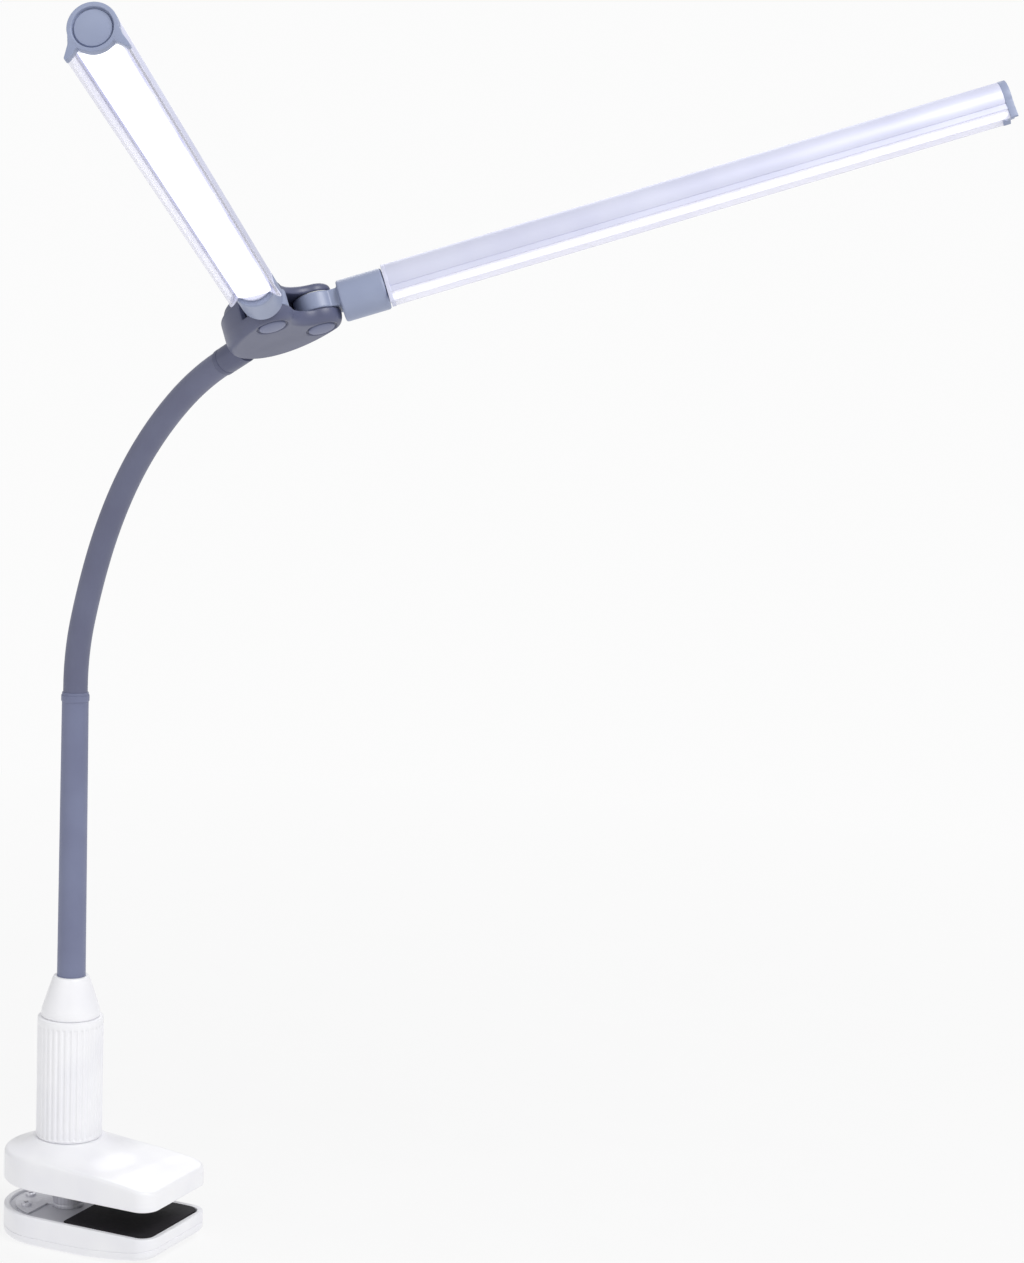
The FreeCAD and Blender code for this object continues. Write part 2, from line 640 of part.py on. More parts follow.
def make_knuckle():
    """Flat tongue that pans in the hub, with the round connector that the bar rolls in."""
    tongue = cylinder(TONGUE_RADIUS, -TONGUE_HALF, TONGUE_HALF)
    neck = box(0, CONNECTOR_START + 1, -TONGUE_WIDTH / 2, TONGUE_WIDTH / 2,
               -TONGUE_HALF, TONGUE_HALF)
    nose = 1.5
    barrel = along_bar(CONNECTOR_RADIUS, CONNECTOR_START + nose, CONNECTOR_END)
    barrel = barrel.fuse(Part.makeCone(CONNECTOR_RADIUS - nose, CONNECTOR_RADIUS, nose,
                                       V(CONNECTOR_START, 0, 0), V(1, 0, 0)))
    bores = along_bar(7.2, CONNECTOR_START + 5, CONNECTOR_END - 4)
    bores = bores.fuse(along_bar(SPINDLE_RADIUS + CLEAR, CONNECTOR_START + 6, 60))
    for piece in (barrel, bores):
        piece.translate(V(0, 0, -CONNECTOR_DROP))
    knuckle = tongue.fuse(neck).fuse(barrel).removeSplitter()
    return knuckle.cut(cylinder(PIVOT_RADIUS + CLEAR, -10, 10)).cut(bores)


def make_spindle():
    """Hollow pin that the bar rolls on, held by a flange inside the connector."""
    flange = along_bar(6.4, CONNECTOR_END - 6.2, CONNECTOR_END - 4.4)
    pin = along_bar(SPINDLE_RADIUS, CONNECTOR_END - 6.2, RING_START + RING_THICK + 2)
    return flange.fuse(pin).cut(along_bar(2.0, 0, 100))


def ear_outline(radius):
    """Closed face, across the bar, of a round cap with two ears at its lower corners."""
    tip_y, tip_z = WING_TIP
    tip_y, tip_z = tip_y + 0.5, tip_z - 0.3
    disc = Part.Face(Part.Wire(Part.Circle(V(0, 0, 0), V(1, 0, 0), radius).toShape()))
    shapes = [disc]
    for side in (-1, 1):
        points = [V(0, side * radius * 0.97, -1.6), V(0, side * tip_y, tip_z + 1.2),
                  V(0, side * (tip_y - 0.4), tip_z), V(0, side * (tip_y - 1.6), tip_z),
                  V(0, side * radius * 0.72, -radius * 0.69), V(0, side * radius * 0.5, -1.6)]
        shapes.append(polygon_face(points))
    return shapes


def ear_plate(radius, x_low, thick):
    plate = None
    for face in ear_outline(radius):
        solid = face.extrude(V(thick, 0, 0))
        plate = solid if plate is None else plate.fuse(solid)
    plate = plate.removeSplitter()
    plate.translate(V(x_low, 0, 0))
    return plate


def spindle_hole(radius, x_high):
    """Hole on the roll axis, seen from the shell's centre."""
    hole = along_bar(radius, 0, x_high)
    hole.translate(V(0, 0, -SHELL_LIFT))
    return hole


def make_near_ring():
    ring = ear_plate(SHELL_RADIUS + 0.1, RING_START, RING_THICK)
    return ring.cut(spindle_hole(SPINDLE_RADIUS, 100))


def make_far_cap():
    """End cap with a round sunk panel."""
    cap = ear_plate(SHELL_RADIUS + 0.1, BAR_END - CAP_THICK, CAP_THICK)
    groove = along_bar(7.9, BAR_END - 0.8, BAR_END + 1).cut(along_bar(7.3, 0, BAR_END + 1))
    cap = cap.cut(groove)
    return cap.cut(along_bar(7.3, BAR_END - 0.35, BAR_END + 1))


def bar_length():
    return RING_START + RING_THICK, BAR_END - CAP_THICK


def make_shell():
    """Round aluminium shell with a web that carries the LED board."""
    start, end = bar_length()
    outer = along_bar(SHELL_RADIUS, start, end)
    keep = box(start - 1, end + 1, -20, 20, SHELL_SKIRT, 20)
    outer = outer.common(keep)
    hollow = along_bar(SHELL_RADIUS - SHELL_WALL, start - 1, end + 1)
    upper = hollow.common(box(start - 2, end + 2, -20, 20, 0, 20))
    lower = hollow.common(box(start - 2, end + 2, -20, 20, -20, BOARD_TOP))
    bore = spindle_hole(SPINDLE_RADIUS + 0.2, start + 2.5)
    return outer.cut(upper).cut(lower).cut(bore)


def make_wings():
    """Clear side wings that flare out below the shell."""
    start, end = bar_length()
    tip_y, tip_z = WING_TIP
    root = SHELL_RADIUS * 0.972
    wings = []
    for side in (-1, 1):
        points = [V(start, side * root, SHELL_SKIRT),
                  V(start, side * tip_y, tip_z),
                  V(start, side * (tip_y - WING_THICK), tip_z),
                  V(start, side * (root - WING_THICK), SHELL_SKIRT - 1.2),
                  V(start, side * (root - WING_THICK), SHELL_SKIRT)]
        wings.append(polygon_face(points).extrude(V(end - start, 0, 0)))
    return Part.Compound(wings)


def make_diffuser():
    """Frosted trough below the LEDs, up to the shell's web."""
    start, end = bar_length()
    half, drop, wall = DIFFUSER_HALF, DIFFUSER_DROP, 1.0
    outer = [V(start, -half + 0.4, BOARD_TOP), V(start, -half, drop + 1.2),
             V(start, -half + 1.2, drop), V(start, half - 1.2, drop),
             V(start, half, drop + 1.2), V(start, half - 0.4, BOARD_TOP)]
    inner = [V(start, half - 0.4 - wall, BOARD_TOP), V(start, half - wall, drop + 1.5),
             V(start, half - 1.5, drop + wall), V(start, -half + 1.5, drop + wall),
             V(start, -half + wall, drop + 1.5), V(start, -half + 0.4 + wall, BOARD_TOP)]
    return polygon_face(outer + inner).extrude(V(end - start, 0, 0))


def make_led_board():
    start, end = bar_length()
    return box(start + 3, end - 3, -BOARD_HALF, BOARD_HALF, BOARD_TOP - BOARD_THICK, BOARD_TOP)


def make_leds():
    start, end = bar_length()
    pitch = (end - start - 14) / (LED_COUNT - 1)
    length, width, height = LED_SIZE
    top = BOARD_TOP - BOARD_THICK
    leds = []
    for index in range(LED_COUNT):
        x = start + 7 + pitch * index
        leds.append(box(x - length / 2, x + length / 2, -width / 2, width / 2, top - height, top))
    return Part.Compound(leds)


def write_placed(name, shape, place):
    shape.Placement = place.multiply(shape.Placement)
    write(name, shape)


def write_bar(side_name, pan_degrees, roll_degrees, pivot_side, hub):
    """All the pieces of one bar, turned to its pan and roll angles."""
    forward, side, normal, centre = hub
    pan = math.radians(pan_degrees)
    along = forward * math.cos(pan) + side * math.sin(pan)
    across = normal.cross(along)
    pivot = centre + side * (PIVOT_HALF * pivot_side)
    write_placed("knuckle_" + side_name, make_knuckle(), placement(pivot, along, across, normal))
    roll = math.radians(roll_degrees)
    rolled_across = across * math.cos(roll) + normal * math.sin(roll)
    rolled_normal = normal * math.cos(roll) - across * math.sin(roll)
    axis_point = pivot - normal * CONNECTOR_DROP
    write_placed("roll_spindle_" + side_name, make_spindle(),
                 placement(axis_point, along, rolled_across, rolled_normal))
    lifted = axis_point + rolled_normal * SHELL_LIFT
    place = placement(lifted, along, rolled_across, rolled_normal)
    makers = {
        "near_ring": make_near_ring,
        "bar_shell": make_shell, "lens_wings": make_wings, "diffuser": make_diffuser,
        "led_board": make_led_board, "leds": make_leds, "end_cap": make_far_cap,
    }
    for piece, maker in makers.items():
        write_placed(piece + "_" + side_name, maker(), place)
    return pivot, along


def print_joint(name, point, axis):
    """Joint centre in metres and its axis, for the record."""
    place = [round(value / 1000, 6) for value in point]
    print(name, place, [round(value, 6) for value in axis])


def main():
    os.makedirs("parts", exist_ok=True)
    write("upper_jaw", make_upper_jaw())
    write("upper_cover_plate", make_cover_plate())
    write("upper_pad", make_upper_pad())
    write("cable_gland", make_cable_gland())
    write("post_screws", make_post_screws())
    write("post_handle", make_post())
    write("post_cone", make_cone())
    write("guide_bush", make_guide_bush())
    write("return_spring", make_return_spring())
    write("lower_tube", make_lower_tube())
    write("tube_ring", make_tube_ring())
    write("tube_nut", make_tube_nut())
    write("lower_jaw", make_lower_jaw())
    write("lower_floor_plate", make_floor_plate())
    write("lower_pad", make_lower_pad())
    write("bracket_plate", make_bracket_plate())
    write("bracket_screws", make_jaw_screws())
    write("jaw_column", make_column())
    write("column_collar", make_collar())

    stations = neck_stations()
    for index in range(len(SEGMENT_TURNS)):
        sleeve, core = make_neck_segment(index, stations)
        write("neck_sleeve_%d" % (index + 1), sleeve)
        write("neck_core_%d" % (index + 1), core)
        point, angle = stations[index]
        bend_axis = PLANE_NORMAL
        sway_axis = neck_direction(angle).cross(PLANE_NORMAL)
        print_joint("bend_%d" % (index + 1), point, bend_axis)
        print_joint("sway_%d" % (index + 1), point, sway_axis)

    hub = hub_axes(stations)
    forward, side, normal, centre = hub
    place = placement(centre, forward, side, normal)
    write_placed("neck_ferrule", make_ferrule(), place)
    write_placed("hub_lower_shell", make_hub_lower(), place)
    write_placed("hub_upper_shell", make_hub_upper(), place)
    write_placed("pivot_screws", make_pivot_screws(), place)
    write_placed("pivot_washers", make_washers(), place)
    write_placed("pivot_cap_right", make_pivot_cap(1), place)
    write_placed("pivot_cap_left", make_pivot_cap(-1), place)
    bars = (("right", RIGHT_PAN, RIGHT_ROLL, 1), ("left", LEFT_PAN, LEFT_ROLL, -1))
    for name, pan, roll, pivot_side in bars:
        pivot, along = write_bar(name, pan, roll, pivot_side, hub)
        print_joint("pan_" + name, pivot, normal)
        roll_point = pivot - normal * CONNECTOR_DROP + along * CONNECTOR_END
        print_joint("roll_" + name, roll_point, along)


main()
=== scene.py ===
import json
import math

import bmesh
import bpy
from mathutils import Matrix, Vector


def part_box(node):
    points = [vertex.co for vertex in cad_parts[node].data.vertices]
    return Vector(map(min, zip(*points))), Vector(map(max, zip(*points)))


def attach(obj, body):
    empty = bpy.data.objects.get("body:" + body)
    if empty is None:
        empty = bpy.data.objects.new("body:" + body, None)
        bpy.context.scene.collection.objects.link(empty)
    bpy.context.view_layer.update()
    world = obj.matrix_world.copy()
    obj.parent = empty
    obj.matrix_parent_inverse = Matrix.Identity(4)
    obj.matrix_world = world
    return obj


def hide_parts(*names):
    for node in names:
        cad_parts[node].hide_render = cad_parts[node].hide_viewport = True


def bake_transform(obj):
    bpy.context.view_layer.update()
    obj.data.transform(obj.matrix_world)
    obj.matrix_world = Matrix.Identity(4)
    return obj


# Clip-on reading lamp: the looks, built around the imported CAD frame.
# Local shapes are drawn in millimetres in the frame of the clip, the hub or a bar, and each is
# then placed in the row frame in metres.

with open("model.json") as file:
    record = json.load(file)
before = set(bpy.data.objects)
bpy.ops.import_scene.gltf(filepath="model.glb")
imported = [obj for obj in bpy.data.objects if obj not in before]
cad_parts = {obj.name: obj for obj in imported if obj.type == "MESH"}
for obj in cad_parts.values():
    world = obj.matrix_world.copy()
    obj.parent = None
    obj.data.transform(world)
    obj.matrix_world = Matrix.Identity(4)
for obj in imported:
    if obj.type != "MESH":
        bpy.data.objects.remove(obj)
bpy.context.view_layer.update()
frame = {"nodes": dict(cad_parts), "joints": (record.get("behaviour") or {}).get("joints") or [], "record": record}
JOINTS = {joint["name"]: joint for joint in frame["joints"]}
MM = 0.001
AXIS = 0.02                # radius given to a turned shape where it closes on its axis

# --- camera, in the row frame ---
CAMERA_PLACE = (0.7846, -1.2678, 0.5269)
CAMERA_AZIMUTH = 24.6      # degrees from +Y towards -X
CAMERA_PITCH = 8.8         # degrees down
CAMERA_ROLL = 2.12
CAMERA_LENS = 85.51
SENSOR = 36.0

# --- clip, in millimetres from the post axis ---
JAW_CORNER = 9.5           # radius of the corners at the mouth
JAW_EDGE = 1.8             # rounding of the upper jaw's top edge
SKIRT_EDGE = 0.5           # rounding of its lower edge
UPPER_TOP = 16.0
UPPER_TOP_AT_MOUTH = 11.0
TAPER_START = 15.0         # in front of this both jaws get thinner
BOSS_RADIUS = 18.5
BOSS_FOOT = 42.0           # radius where the top starts to rise towards the post
FLARE_POWER = 2.6          # a higher power keeps the rise closer to the post
POST_BORE = 12.4
WALL = 3.0
CEILING = 8.5              # height of the upper jaw's hollow
INLET_RADIUS = 4.5
LOWER_EDGE = 3.0
LOWER_MOUTH_RISE = 5.0
LOWER_LEDGE = -15.7        # height of the tray's floor
RIM_WIDTH = 3.2            # of the lower jaw's wall round its pad
RIM_EDGE = 0.8
SEAM_HEIGHT = 4.6          # of the groove round the lower jaw, above its underside
UPPER_PAD_INSET = 6.5
LOWER_PAD_INSET = 2.8
PAD_REAR_CORNER = 1.6
PAD_EDGE = 0.45
PAD_GAP = 0.7              # free edge round the front and sides of the pads
SCREW_HEAD = 1.4           # height of a screw's head
SCREW_SHANK = 1.45
SCREW_SLOT = 0.32          # half the width of its cross recess, at the bottom

# --- post, tube and neck ---
CONE_BORE = 7.4
CONE_TOP = 8.9             # radius of the cone's upper end
TUBE_FOOT = 7.38           # radius of the lower tube where it leaves the cone
TUBE_TOP = 6.72
RING_BORE = 6.5
RIB_COUNT = 34
RIB_SAMPLES = 12
RIB_DEPTH = 0.6
RIB_TOP_DROP = 3.5
RIB_FADE = 1.2             # over which the grooves run out at both ends
GROOVE_SHARE = 0.56        # of the pitch that a groove takes
SLEEVE_RADIUS = 6.2
SLEEVE_STEPS = 40
SLEEVE_SIDES = 48
SLEEVE_FOOT = 4.0          # depth of the sleeve's foot inside the ring
NECK_BLEND = 15.0          # reach each side of a joint of the span passed to finish, which bakes the sleeve in place
NECK_FOOT_BLEND = 2.0
FERRULE_RADIUS = 6.6

# --- hub ---
HUB_REACH = 38.5
PIVOT_HALF = 15.3
LOBE_RADIUS = 11.0
LOBE_BLEND = 40.0
HUB_FULLNESS = 0.92        # 1 gives a plain oval rear, less gives fuller shoulders
SLOT_HALF = 4.7
SLOT_DEPTH = 7.0           # the slot for the tongues reaches this far behind the pivots
OUTSIDE = 60.0             # well clear of the hub on every side
SLOT_RADIUS = 10.4
LOWER_PLATE = 6.5
UPPER_PLATE = 4.4
UPPER_INSET = 2.2
LOWER_ROUND = (3.2, 6.2)   # across and up, of the lower shell's round edge
UPPER_ROUND = 2.6
HUB_VOXEL = 0.42
CAP_RADIUS = 6.3
CAP_RECESS = 7.4
CAP_RECESS_DEPTH = 1.1
CAP_SEAT = 0.35            # depth of a dome's edge in its recess
CAP_DOME = 1.35            # height of a dome over its edge
CAP_BACK = 1.35
STEM_DROP = 5.0            # the neck meets the hub this far below its middle

# --- light bars ---
TONGUE_HALF = 4.2
TONGUE_RADIUS = 10.0
TONGUE_WIDTH = 13.0
TONGUE_EDGE = 0.7
KNUCKLE_VOXEL = 0.36
CONNECTOR_START = 12.0
CONNECTOR_END = 34.0
CONNECTOR_RADIUS = 9.9
CONNECTOR_EDGE = 1.3
CONNECTOR_DROP = 1.0       # the roll axis runs this far below the tongue's middle
BAR_ROLL = {"right": 12.0, "left": -5.0}    # degrees that each bar rests rolled
SHELL_LIFT = 1.8           # the shell's centre stands this far above the roll axis
SHELL_RADIUS = 9.2
SHELL_WALL = 1.2
SHELL_SKIRT = -2.2         # height of the shell's lower edge
WEB = -1.4                 # height of the web between the shell's sides
WING_THICK = 1.3
WING_ROOT = 0.972 * SHELL_RADIUS
WING_FROSTED = 0.38        # upper share of each wing that is painted like the shell
RING_EDGE = 0.3
PLATE_RADIUS = SHELL_RADIUS + 0.1
EAR_TIP = (12.0, -9.9)
EAR_ROOT = -4.3            # height at which an ear leaves the round plate
EAR_EDGE = 0.45
PANEL_RADIUS = 7.5
PANEL_DEPTH = 0.75
PANEL_GROOVE = 1.5         # depth of the groove round the sunk panel

# --- lights and floor, in metres ---
# name, place, target, size, power
LIGHTS = (
    ("key", (1.25, -0.45, 1.7), (0.05, 0, 0.2), 0.9, 19),
    ("fill", (-0.3, -1.5, 0.8), (0, 0, 0.3), 1.4, 3),
    ("rim", (-0.6, 1.2, 1.2), (0.05, 0, 0.35), 1.0, 5),
)
WORLD_LIGHT = 0.52         # strength of the surroundings as light
WORLD_SEEN = 0.97          # and as seen behind the object
FLOOR_RADIUS = 4.0
FLOOR_FADE = (0.25, 1.2)   # distances between which the floor fades into the surroundings


# ========== small geometry helpers ==========

def arc(cx, cy, radius, start, end, count):
    """Points on an arc, in degrees, without its last point."""
    points = []
    for index in range(count):
        angle = math.radians(start + (end - start) * index / count)
        points.append((cx + radius * math.cos(angle), cy + radius * math.sin(angle)))
    return points


def line(start, end, count):
    """Points on a straight stretch, without its last point."""
    points = []
    for index in range(count):
        t = index / count
        points.append((start[0] + (end[0] - start[0]) * t, start[1] + (end[1] - start[1]) * t))
    return points


def rounded(points, radius, steps=5):
    """The same polyline with each inner corner turned into a small arc."""
    result = [points[0]]
    for before, corner, after in zip(points, points[1:], points[2:]):
        c = Vector(corner)
        u, v = Vector(before) - c, Vector(after) - c
        reach = min(radius, u.length * 0.45, v.length * 0.45)
        if reach < 1e-4 or abs(u.normalized().dot(v.normalized())) > 0.999:
            result.append(corner)
            continue
        a, b = c + u.normalized() * reach, c + v.normalized() * reach
        for step in range(steps + 1):
            t = step / steps
            point = a * (1 - t) ** 2 + c * 2 * t * (1 - t) + b * t ** 2
            result.append((point.x, point.y))
    result.append(points[-1])
    return result


def rounded_loop(points, radius, steps=5):
    """A closed outline with every corner turned into a small arc."""
    closed = [points[-1]] + list(points) + [points[0]]
    return rounded(closed, radius, steps)[1:-1]


def smooth(mesh, angle=35):
    mesh.shade_smooth()
    mesh.set_sharp_from_angle(angle=math.radians(angle))


def build(name, verts, faces):
    mesh = bpy.data.meshes.new(name)
    mesh.from_pydata([tuple(v) for v in verts], [], faces)
    mesh.validate()
    obj = bpy.data.objects.new(name, mesh)
    bpy.context.scene.collection.objects.link(obj)
    fix_normals(obj)
    smooth(mesh)
    return obj


def fix_normals(obj):
    shape = bmesh.new()
    shape.from_mesh(obj.data)
    bmesh.ops.remove_doubles(shape, verts=shape.verts, dist=1e-5)
    bmesh.ops.recalc_face_normals(shape, faces=shape.faces)
    shape.to_mesh(obj.data)
    shape.free()


def loft(name, rings, closed=True):
    """Skin of quads over rings with equal counts. Closed ends, or the last ring joined to the first."""
    count = len(rings[0])
    verts = [point for ring in rings for point in ring]
    faces = []
    spans = len(rings) - 1 if closed else len(rings)
    for span in range(spans):
        low = span * count
        high = (span + 1) % len(rings) * count
        for index in range(count):
            after = (index + 1) % count
            faces.append((low + index, low + after, high + after, high + index))
    if closed:
        faces.append(tuple(reversed(range(count))))
        last = (len(rings) - 1) * count
        faces.append(tuple(range(last, last + count)))
    return build(name, verts, faces)


def lathe(name, profile, steps=96, closed=True):
    """Turn (radius, z) points about Z. A hollow piece gives a loop and closed=False."""
    rings = []
    for radius, z in profile:
        ring = [(x, y, z) for x, y in arc(0, 0, max(radius, AXIS), 0, 360, steps)]
        rings.append(ring)
    return loft(name, rings, closed)


def prism(name, outline, low, high, bevel=0.0, axis="X"):
    """Outline pushed along X (outline in y, z) or Z (outline in x, y), with softened edges."""
    if axis == "X":
        rings = [[(level, a, b) for a, b in outline] for level in (low, high)]
    else:
        rings = [[(a, b, level) for a, b in outline] for level in (low, high)]
    obj = loft(name, rings)
    if bevel:
        soften(obj, bevel)
    return obj


def soften(obj, width, segments=3, angle=40):
    modifier = obj.modifiers.new("soft_edges", "BEVEL")
    modifier.width = width
    modifier.segments = segments
    modifier.limit_method = "ANGLE"
    modifier.angle_limit = math.radians(angle)
    modifier.harden_normals = False
    apply_modifiers(obj)
    smooth(obj.data)


def apply_modifiers(obj):
    graph = bpy.context.evaluated_depsgraph_get()
    mesh = bpy.data.meshes.new_from_object(obj.evaluated_get(graph))
    obj.modifiers.clear()
    obj.data = mesh


def combine(obj, other, operation="DIFFERENCE"):
    modifier = obj.modifiers.new("cut", "BOOLEAN")
    modifier.object = other
    modifier.operation = operation
    modifier.solver = "EXACT"
    apply_modifiers(obj)
    bpy.data.objects.remove(other)


def mould(obj, voxel, passes):
    """Turn joined solids into one moulded skin with soft inner and outer edges."""
    remesh = obj.modifiers.new("skin", "REMESH")
    remesh.mode = "VOXEL"
    remesh.voxel_size = voxel
    relax = obj.modifiers.new("relax", "SMOOTH")
    relax.iterations = passes
    relax.factor = 0.5
    apply_modifiers(obj)
    smooth(obj.data, 60)


def local_frame(origin, x_dir, y_dir, z_dir):
    """Matrix from local millimetres to the row frame in metres."""
    matrix = Matrix.Identity(4)
    for column, axis in enumerate((x_dir, y_dir, z_dir)):
        for row in range(3):
            matrix[row][column] = axis[row] * MM
    for row in range(3):
        matrix[row][3] = origin[row]
    return matrix


def turned(obj, matrix):
    obj.data.transform(matrix)
    return obj


def along_x():
    """Lathed shapes stand on Z; this lays them along X."""
    return Matrix.Rotation(math.radians(90), 4, "Y")


def finish(obj, place, body, slot, nodes=(), blend=None):
    """Place a local piece in the row frame, give it its finish and tie it to its body; with a blend span it is
    baked in place instead.
    """
    obj.data.transform(place)
    obj.data.materials.clear()
    obj.data.materials.append(FINISHES[slot])
    if blend:
        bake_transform(obj)
    else:
        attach(obj, body)
    if nodes:
        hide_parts(*nodes)


def extent(node, place):
    """Lowest and highest corner of a CAD node in a local frame, in millimetres."""
    inverse = place.inverted()
    points = [inverse @ v.co for v in frame["nodes"][node].data.vertices]
    low = Vector([min(p[i] for p in points) for i in range(3)])
    high = Vector([max(p[i] for p in points) for i in range(3)])
    return low, high


# ========== materials ==========

class Nodes:
    """A material with a principled shader and short calls for its procedural inputs."""

    def __init__(self, name, **values):
        self.material = bpy.data.materials.new(name)
        self.material.use_nodes = True
        self.tree = self.material.node_tree
        self.shader = self.tree.nodes["Principled BSDF"]
        for key, value in values.items():
            self.shader.inputs[key.replace("_", " ").title().replace("Ior", "IOR")].default_value = value
        self.coordinates = self.tree.nodes.new("ShaderNodeTexCoord").outputs["Object"]

    def node(self, kind, **settings):
        node = self.tree.nodes.new("ShaderNode" + kind)
        for key, value in settings.items():
            setattr(node, key, value)
        return node

    def link(self, output, target):
        self.tree.links.new(output, target)

    def stretched(self, scale):
        mapping = self.node("Mapping")
        mapping.inputs["Scale"].default_value = scale
        self.link(self.coordinates, mapping.inputs["Vector"])
        return mapping.outputs["Vector"]

    def noise(self, scale, detail=3.0, stretch=None):
        noise = self.node("TexNoise")
        noise.inputs["Scale"].default_value = scale
        noise.inputs["Detail"].default_value = detail
        vector = self.stretched(stretch) if stretch else self.coordinates
        self.link(vector, noise.inputs["Vector"])
        return noise.outputs["Fac"]

    def colours(self, factor, first, second, low=0.35, high=0.65):
        ramp = self.node("ValToRGB")
        ramp.color_ramp.elements[0].position = low
        ramp.color_ramp.elements[0].color = (*first, 1)
        ramp.color_ramp.elements[1].position = high
        ramp.color_ramp.elements[1].color = (*second, 1)
        self.link(factor, ramp.inputs["Fac"])
        self.link(ramp.outputs["Color"], self.shader.inputs["Base Color"])
        return ramp.outputs["Color"]

    def roughness(self, factor, low, high):
        spread = self.node("MapRange")
        spread.inputs["To Min"].default_value = low
        spread.inputs["To Max"].default_value = high
        self.link(factor, spread.inputs["Value"])
        self.link(spread.outputs["Result"], self.shader.inputs["Roughness"])

    def bump(self, height, strength, distance):
        bump = self.node("Bump")
        bump.inputs["Strength"].default_value = strength
        bump.inputs["Distance"].default_value = distance
        self.link(height, bump.inputs["Height"])
        self.link(bump.outputs["Normal"], self.shader.inputs["Normal"])


def linear(red, green, blue):
    """Shader colour of a screen colour given from 0 to 255."""
    result = []
    for value in (red, green, blue):
        share = value / 255
        result.append(share / 12.92 if share <= 0.04045 else ((share + 0.055) / 1.055) ** 2.4)
    return tuple(result)


def moulded(name, first, second, rough, grain, depth, **values):
    """Moulded plastic: faint cloudy colour, uneven gloss and a fine spark-eroded grain."""
    look = Nodes(name, **values)
    cloud = look.noise(38.0, 2.0)
    look.colours(cloud, linear(*first), linear(*second))
    fine = look.noise(grain, 4.0)
    look.roughness(look.noise(90.0, 3.0), *rough)
    look.bump(fine, 0.35, depth)
    return look.material


def rubber(name, first, second):
    look = Nodes(name, specular_ior_level=0.35)
    look.colours(look.noise(60.0), linear(*first), linear(*second))
    look.roughness(look.noise(400.0), 0.62, 0.8)
    look.bump(look.noise(1800.0, 4.0), 0.5, 0.00006)
    return look.material


def brushed(name, metal, first, second, stretch):
    """Metal with fine lines along one way."""
    look = Nodes(name, metallic=metal)
    lines = look.noise(900.0, 4.0, stretch)
    look.colours(lines, linear(*first), linear(*second), 0.25, 0.75)
    look.roughness(lines, 0.25, 0.42)
    look.bump(lines, 0.25, 0.00003)
    return look.material


def clear_plastic(name):
    """Thin clear moulding, drawn as a pale half-seen skin."""
    look = Nodes(name, alpha=0.5, specular_ior_level=0.4)
    look.colours(look.noise(12.0), linear(229, 229, 242), linear(237, 237, 247))
    look.roughness(look.noise(40.0), 0.28, 0.36)
    return look.material


def lit_plastic(name, strength, tint):
    """Lit from within: brightest on its downward face, dimmer where it turns up at the sides."""
    look = Nodes(name)
    haze = look.noise(55.0)
    colour = look.colours(haze, linear(*tint), linear(255, 255, 255))
    look.link(colour, look.shader.inputs["Emission Color"])
    facing = look.node("VectorMath", operation="DOT_PRODUCT")
    look.link(look.node("TexCoord").outputs["Normal"], facing.inputs[0])
    facing.inputs[1].default_value = -Vector(JOINTS["pan_right"]["axis"])
    glow = look.node("MapRange")
    glow.inputs["From Min"].default_value = 0.1
    glow.inputs["To Min"].default_value = strength * 0.3
    glow.inputs["To Max"].default_value = strength
    look.link(facing.outputs["Value"], glow.inputs["Value"])
    look.link(glow.outputs["Result"], look.shader.inputs["Emission Strength"])
    look.roughness(look.noise(300.0), 0.4, 0.55)
    look.bump(look.noise(1500.0, 3.0), 0.3, 0.00005)
    return look.material


def make_finishes():
    """One procedural material for each slot of the record."""
    return {
        "white_plastic": moulded("white_plastic", (240, 240, 245), (246, 246, 249),
                                 (0.30, 0.40), 2600.0, 0.00003, coat_weight=0.15),
        "black_rubber": rubber("black_rubber", (26, 24, 29), (34, 31, 37)),
        "steel": brushed("steel", 0.5, (206, 206, 214), (232, 232, 238), (1, 1, 0.05)),
        "bracket_steel": brushed("bracket_steel", 0.35, (200, 200, 207), (222, 222, 228),
                                 (0.1, 1, 1)),
        "grey_steel": moulded("grey_steel", (200, 200, 206), (210, 210, 216), (0.42, 0.55),
                              1500.0, 0.00004, metallic=0.15),
        "bush_plastic": moulded("bush_plastic", (222, 222, 216), (232, 232, 228), (0.4, 0.5),
                                2000.0, 0.00003),
        "slate_paint": moulded("slate_paint", (112, 117, 146), (118, 124, 153), (0.42, 0.52),
                               2400.0, 0.00003),
        "slate_silicone": moulded("slate_silicone", (97, 100, 126), (103, 107, 133),
                                  (0.5, 0.6), 1900.0, 0.00004, sheen_weight=0.12),
        "slate_plastic": moulded("slate_plastic", (84, 88, 114), (91, 95, 121),
                                 (0.34, 0.44), 2800.0, 0.00003),
        "slate_light": moulded("slate_light", (142, 151, 178), (149, 158, 184), (0.34, 0.44),
                               2800.0, 0.00003),
        "white_shell": moulded("white_shell", (208, 210, 231), (214, 216, 235), (0.42, 0.5),
                               3200.0, 0.00002, metallic=0.15),
        "clear_plastic": clear_plastic("clear_plastic"),
        "lit_diffuser": lit_plastic("lit_diffuser", 1.2, (240, 240, 250)),
        "board_white": moulded("board_white", (226, 228, 222), (236, 238, 232), (0.35, 0.5),
                               900.0, 0.00003),
        "led_yellow": lit_plastic("led_yellow", 2.0, (250, 226, 130)),
    }


FINISHES = make_finishes()


# ========== places ==========

def pose_vector(name, key):
    return Vector(JOINTS[name][key])


def clip_place():
    origin = pose_vector("jaw_slide", "pos_m")
    return local_frame((origin.x, 0, 0), (1, 0, 0), (0, 1, 0), (0, 0, 1))


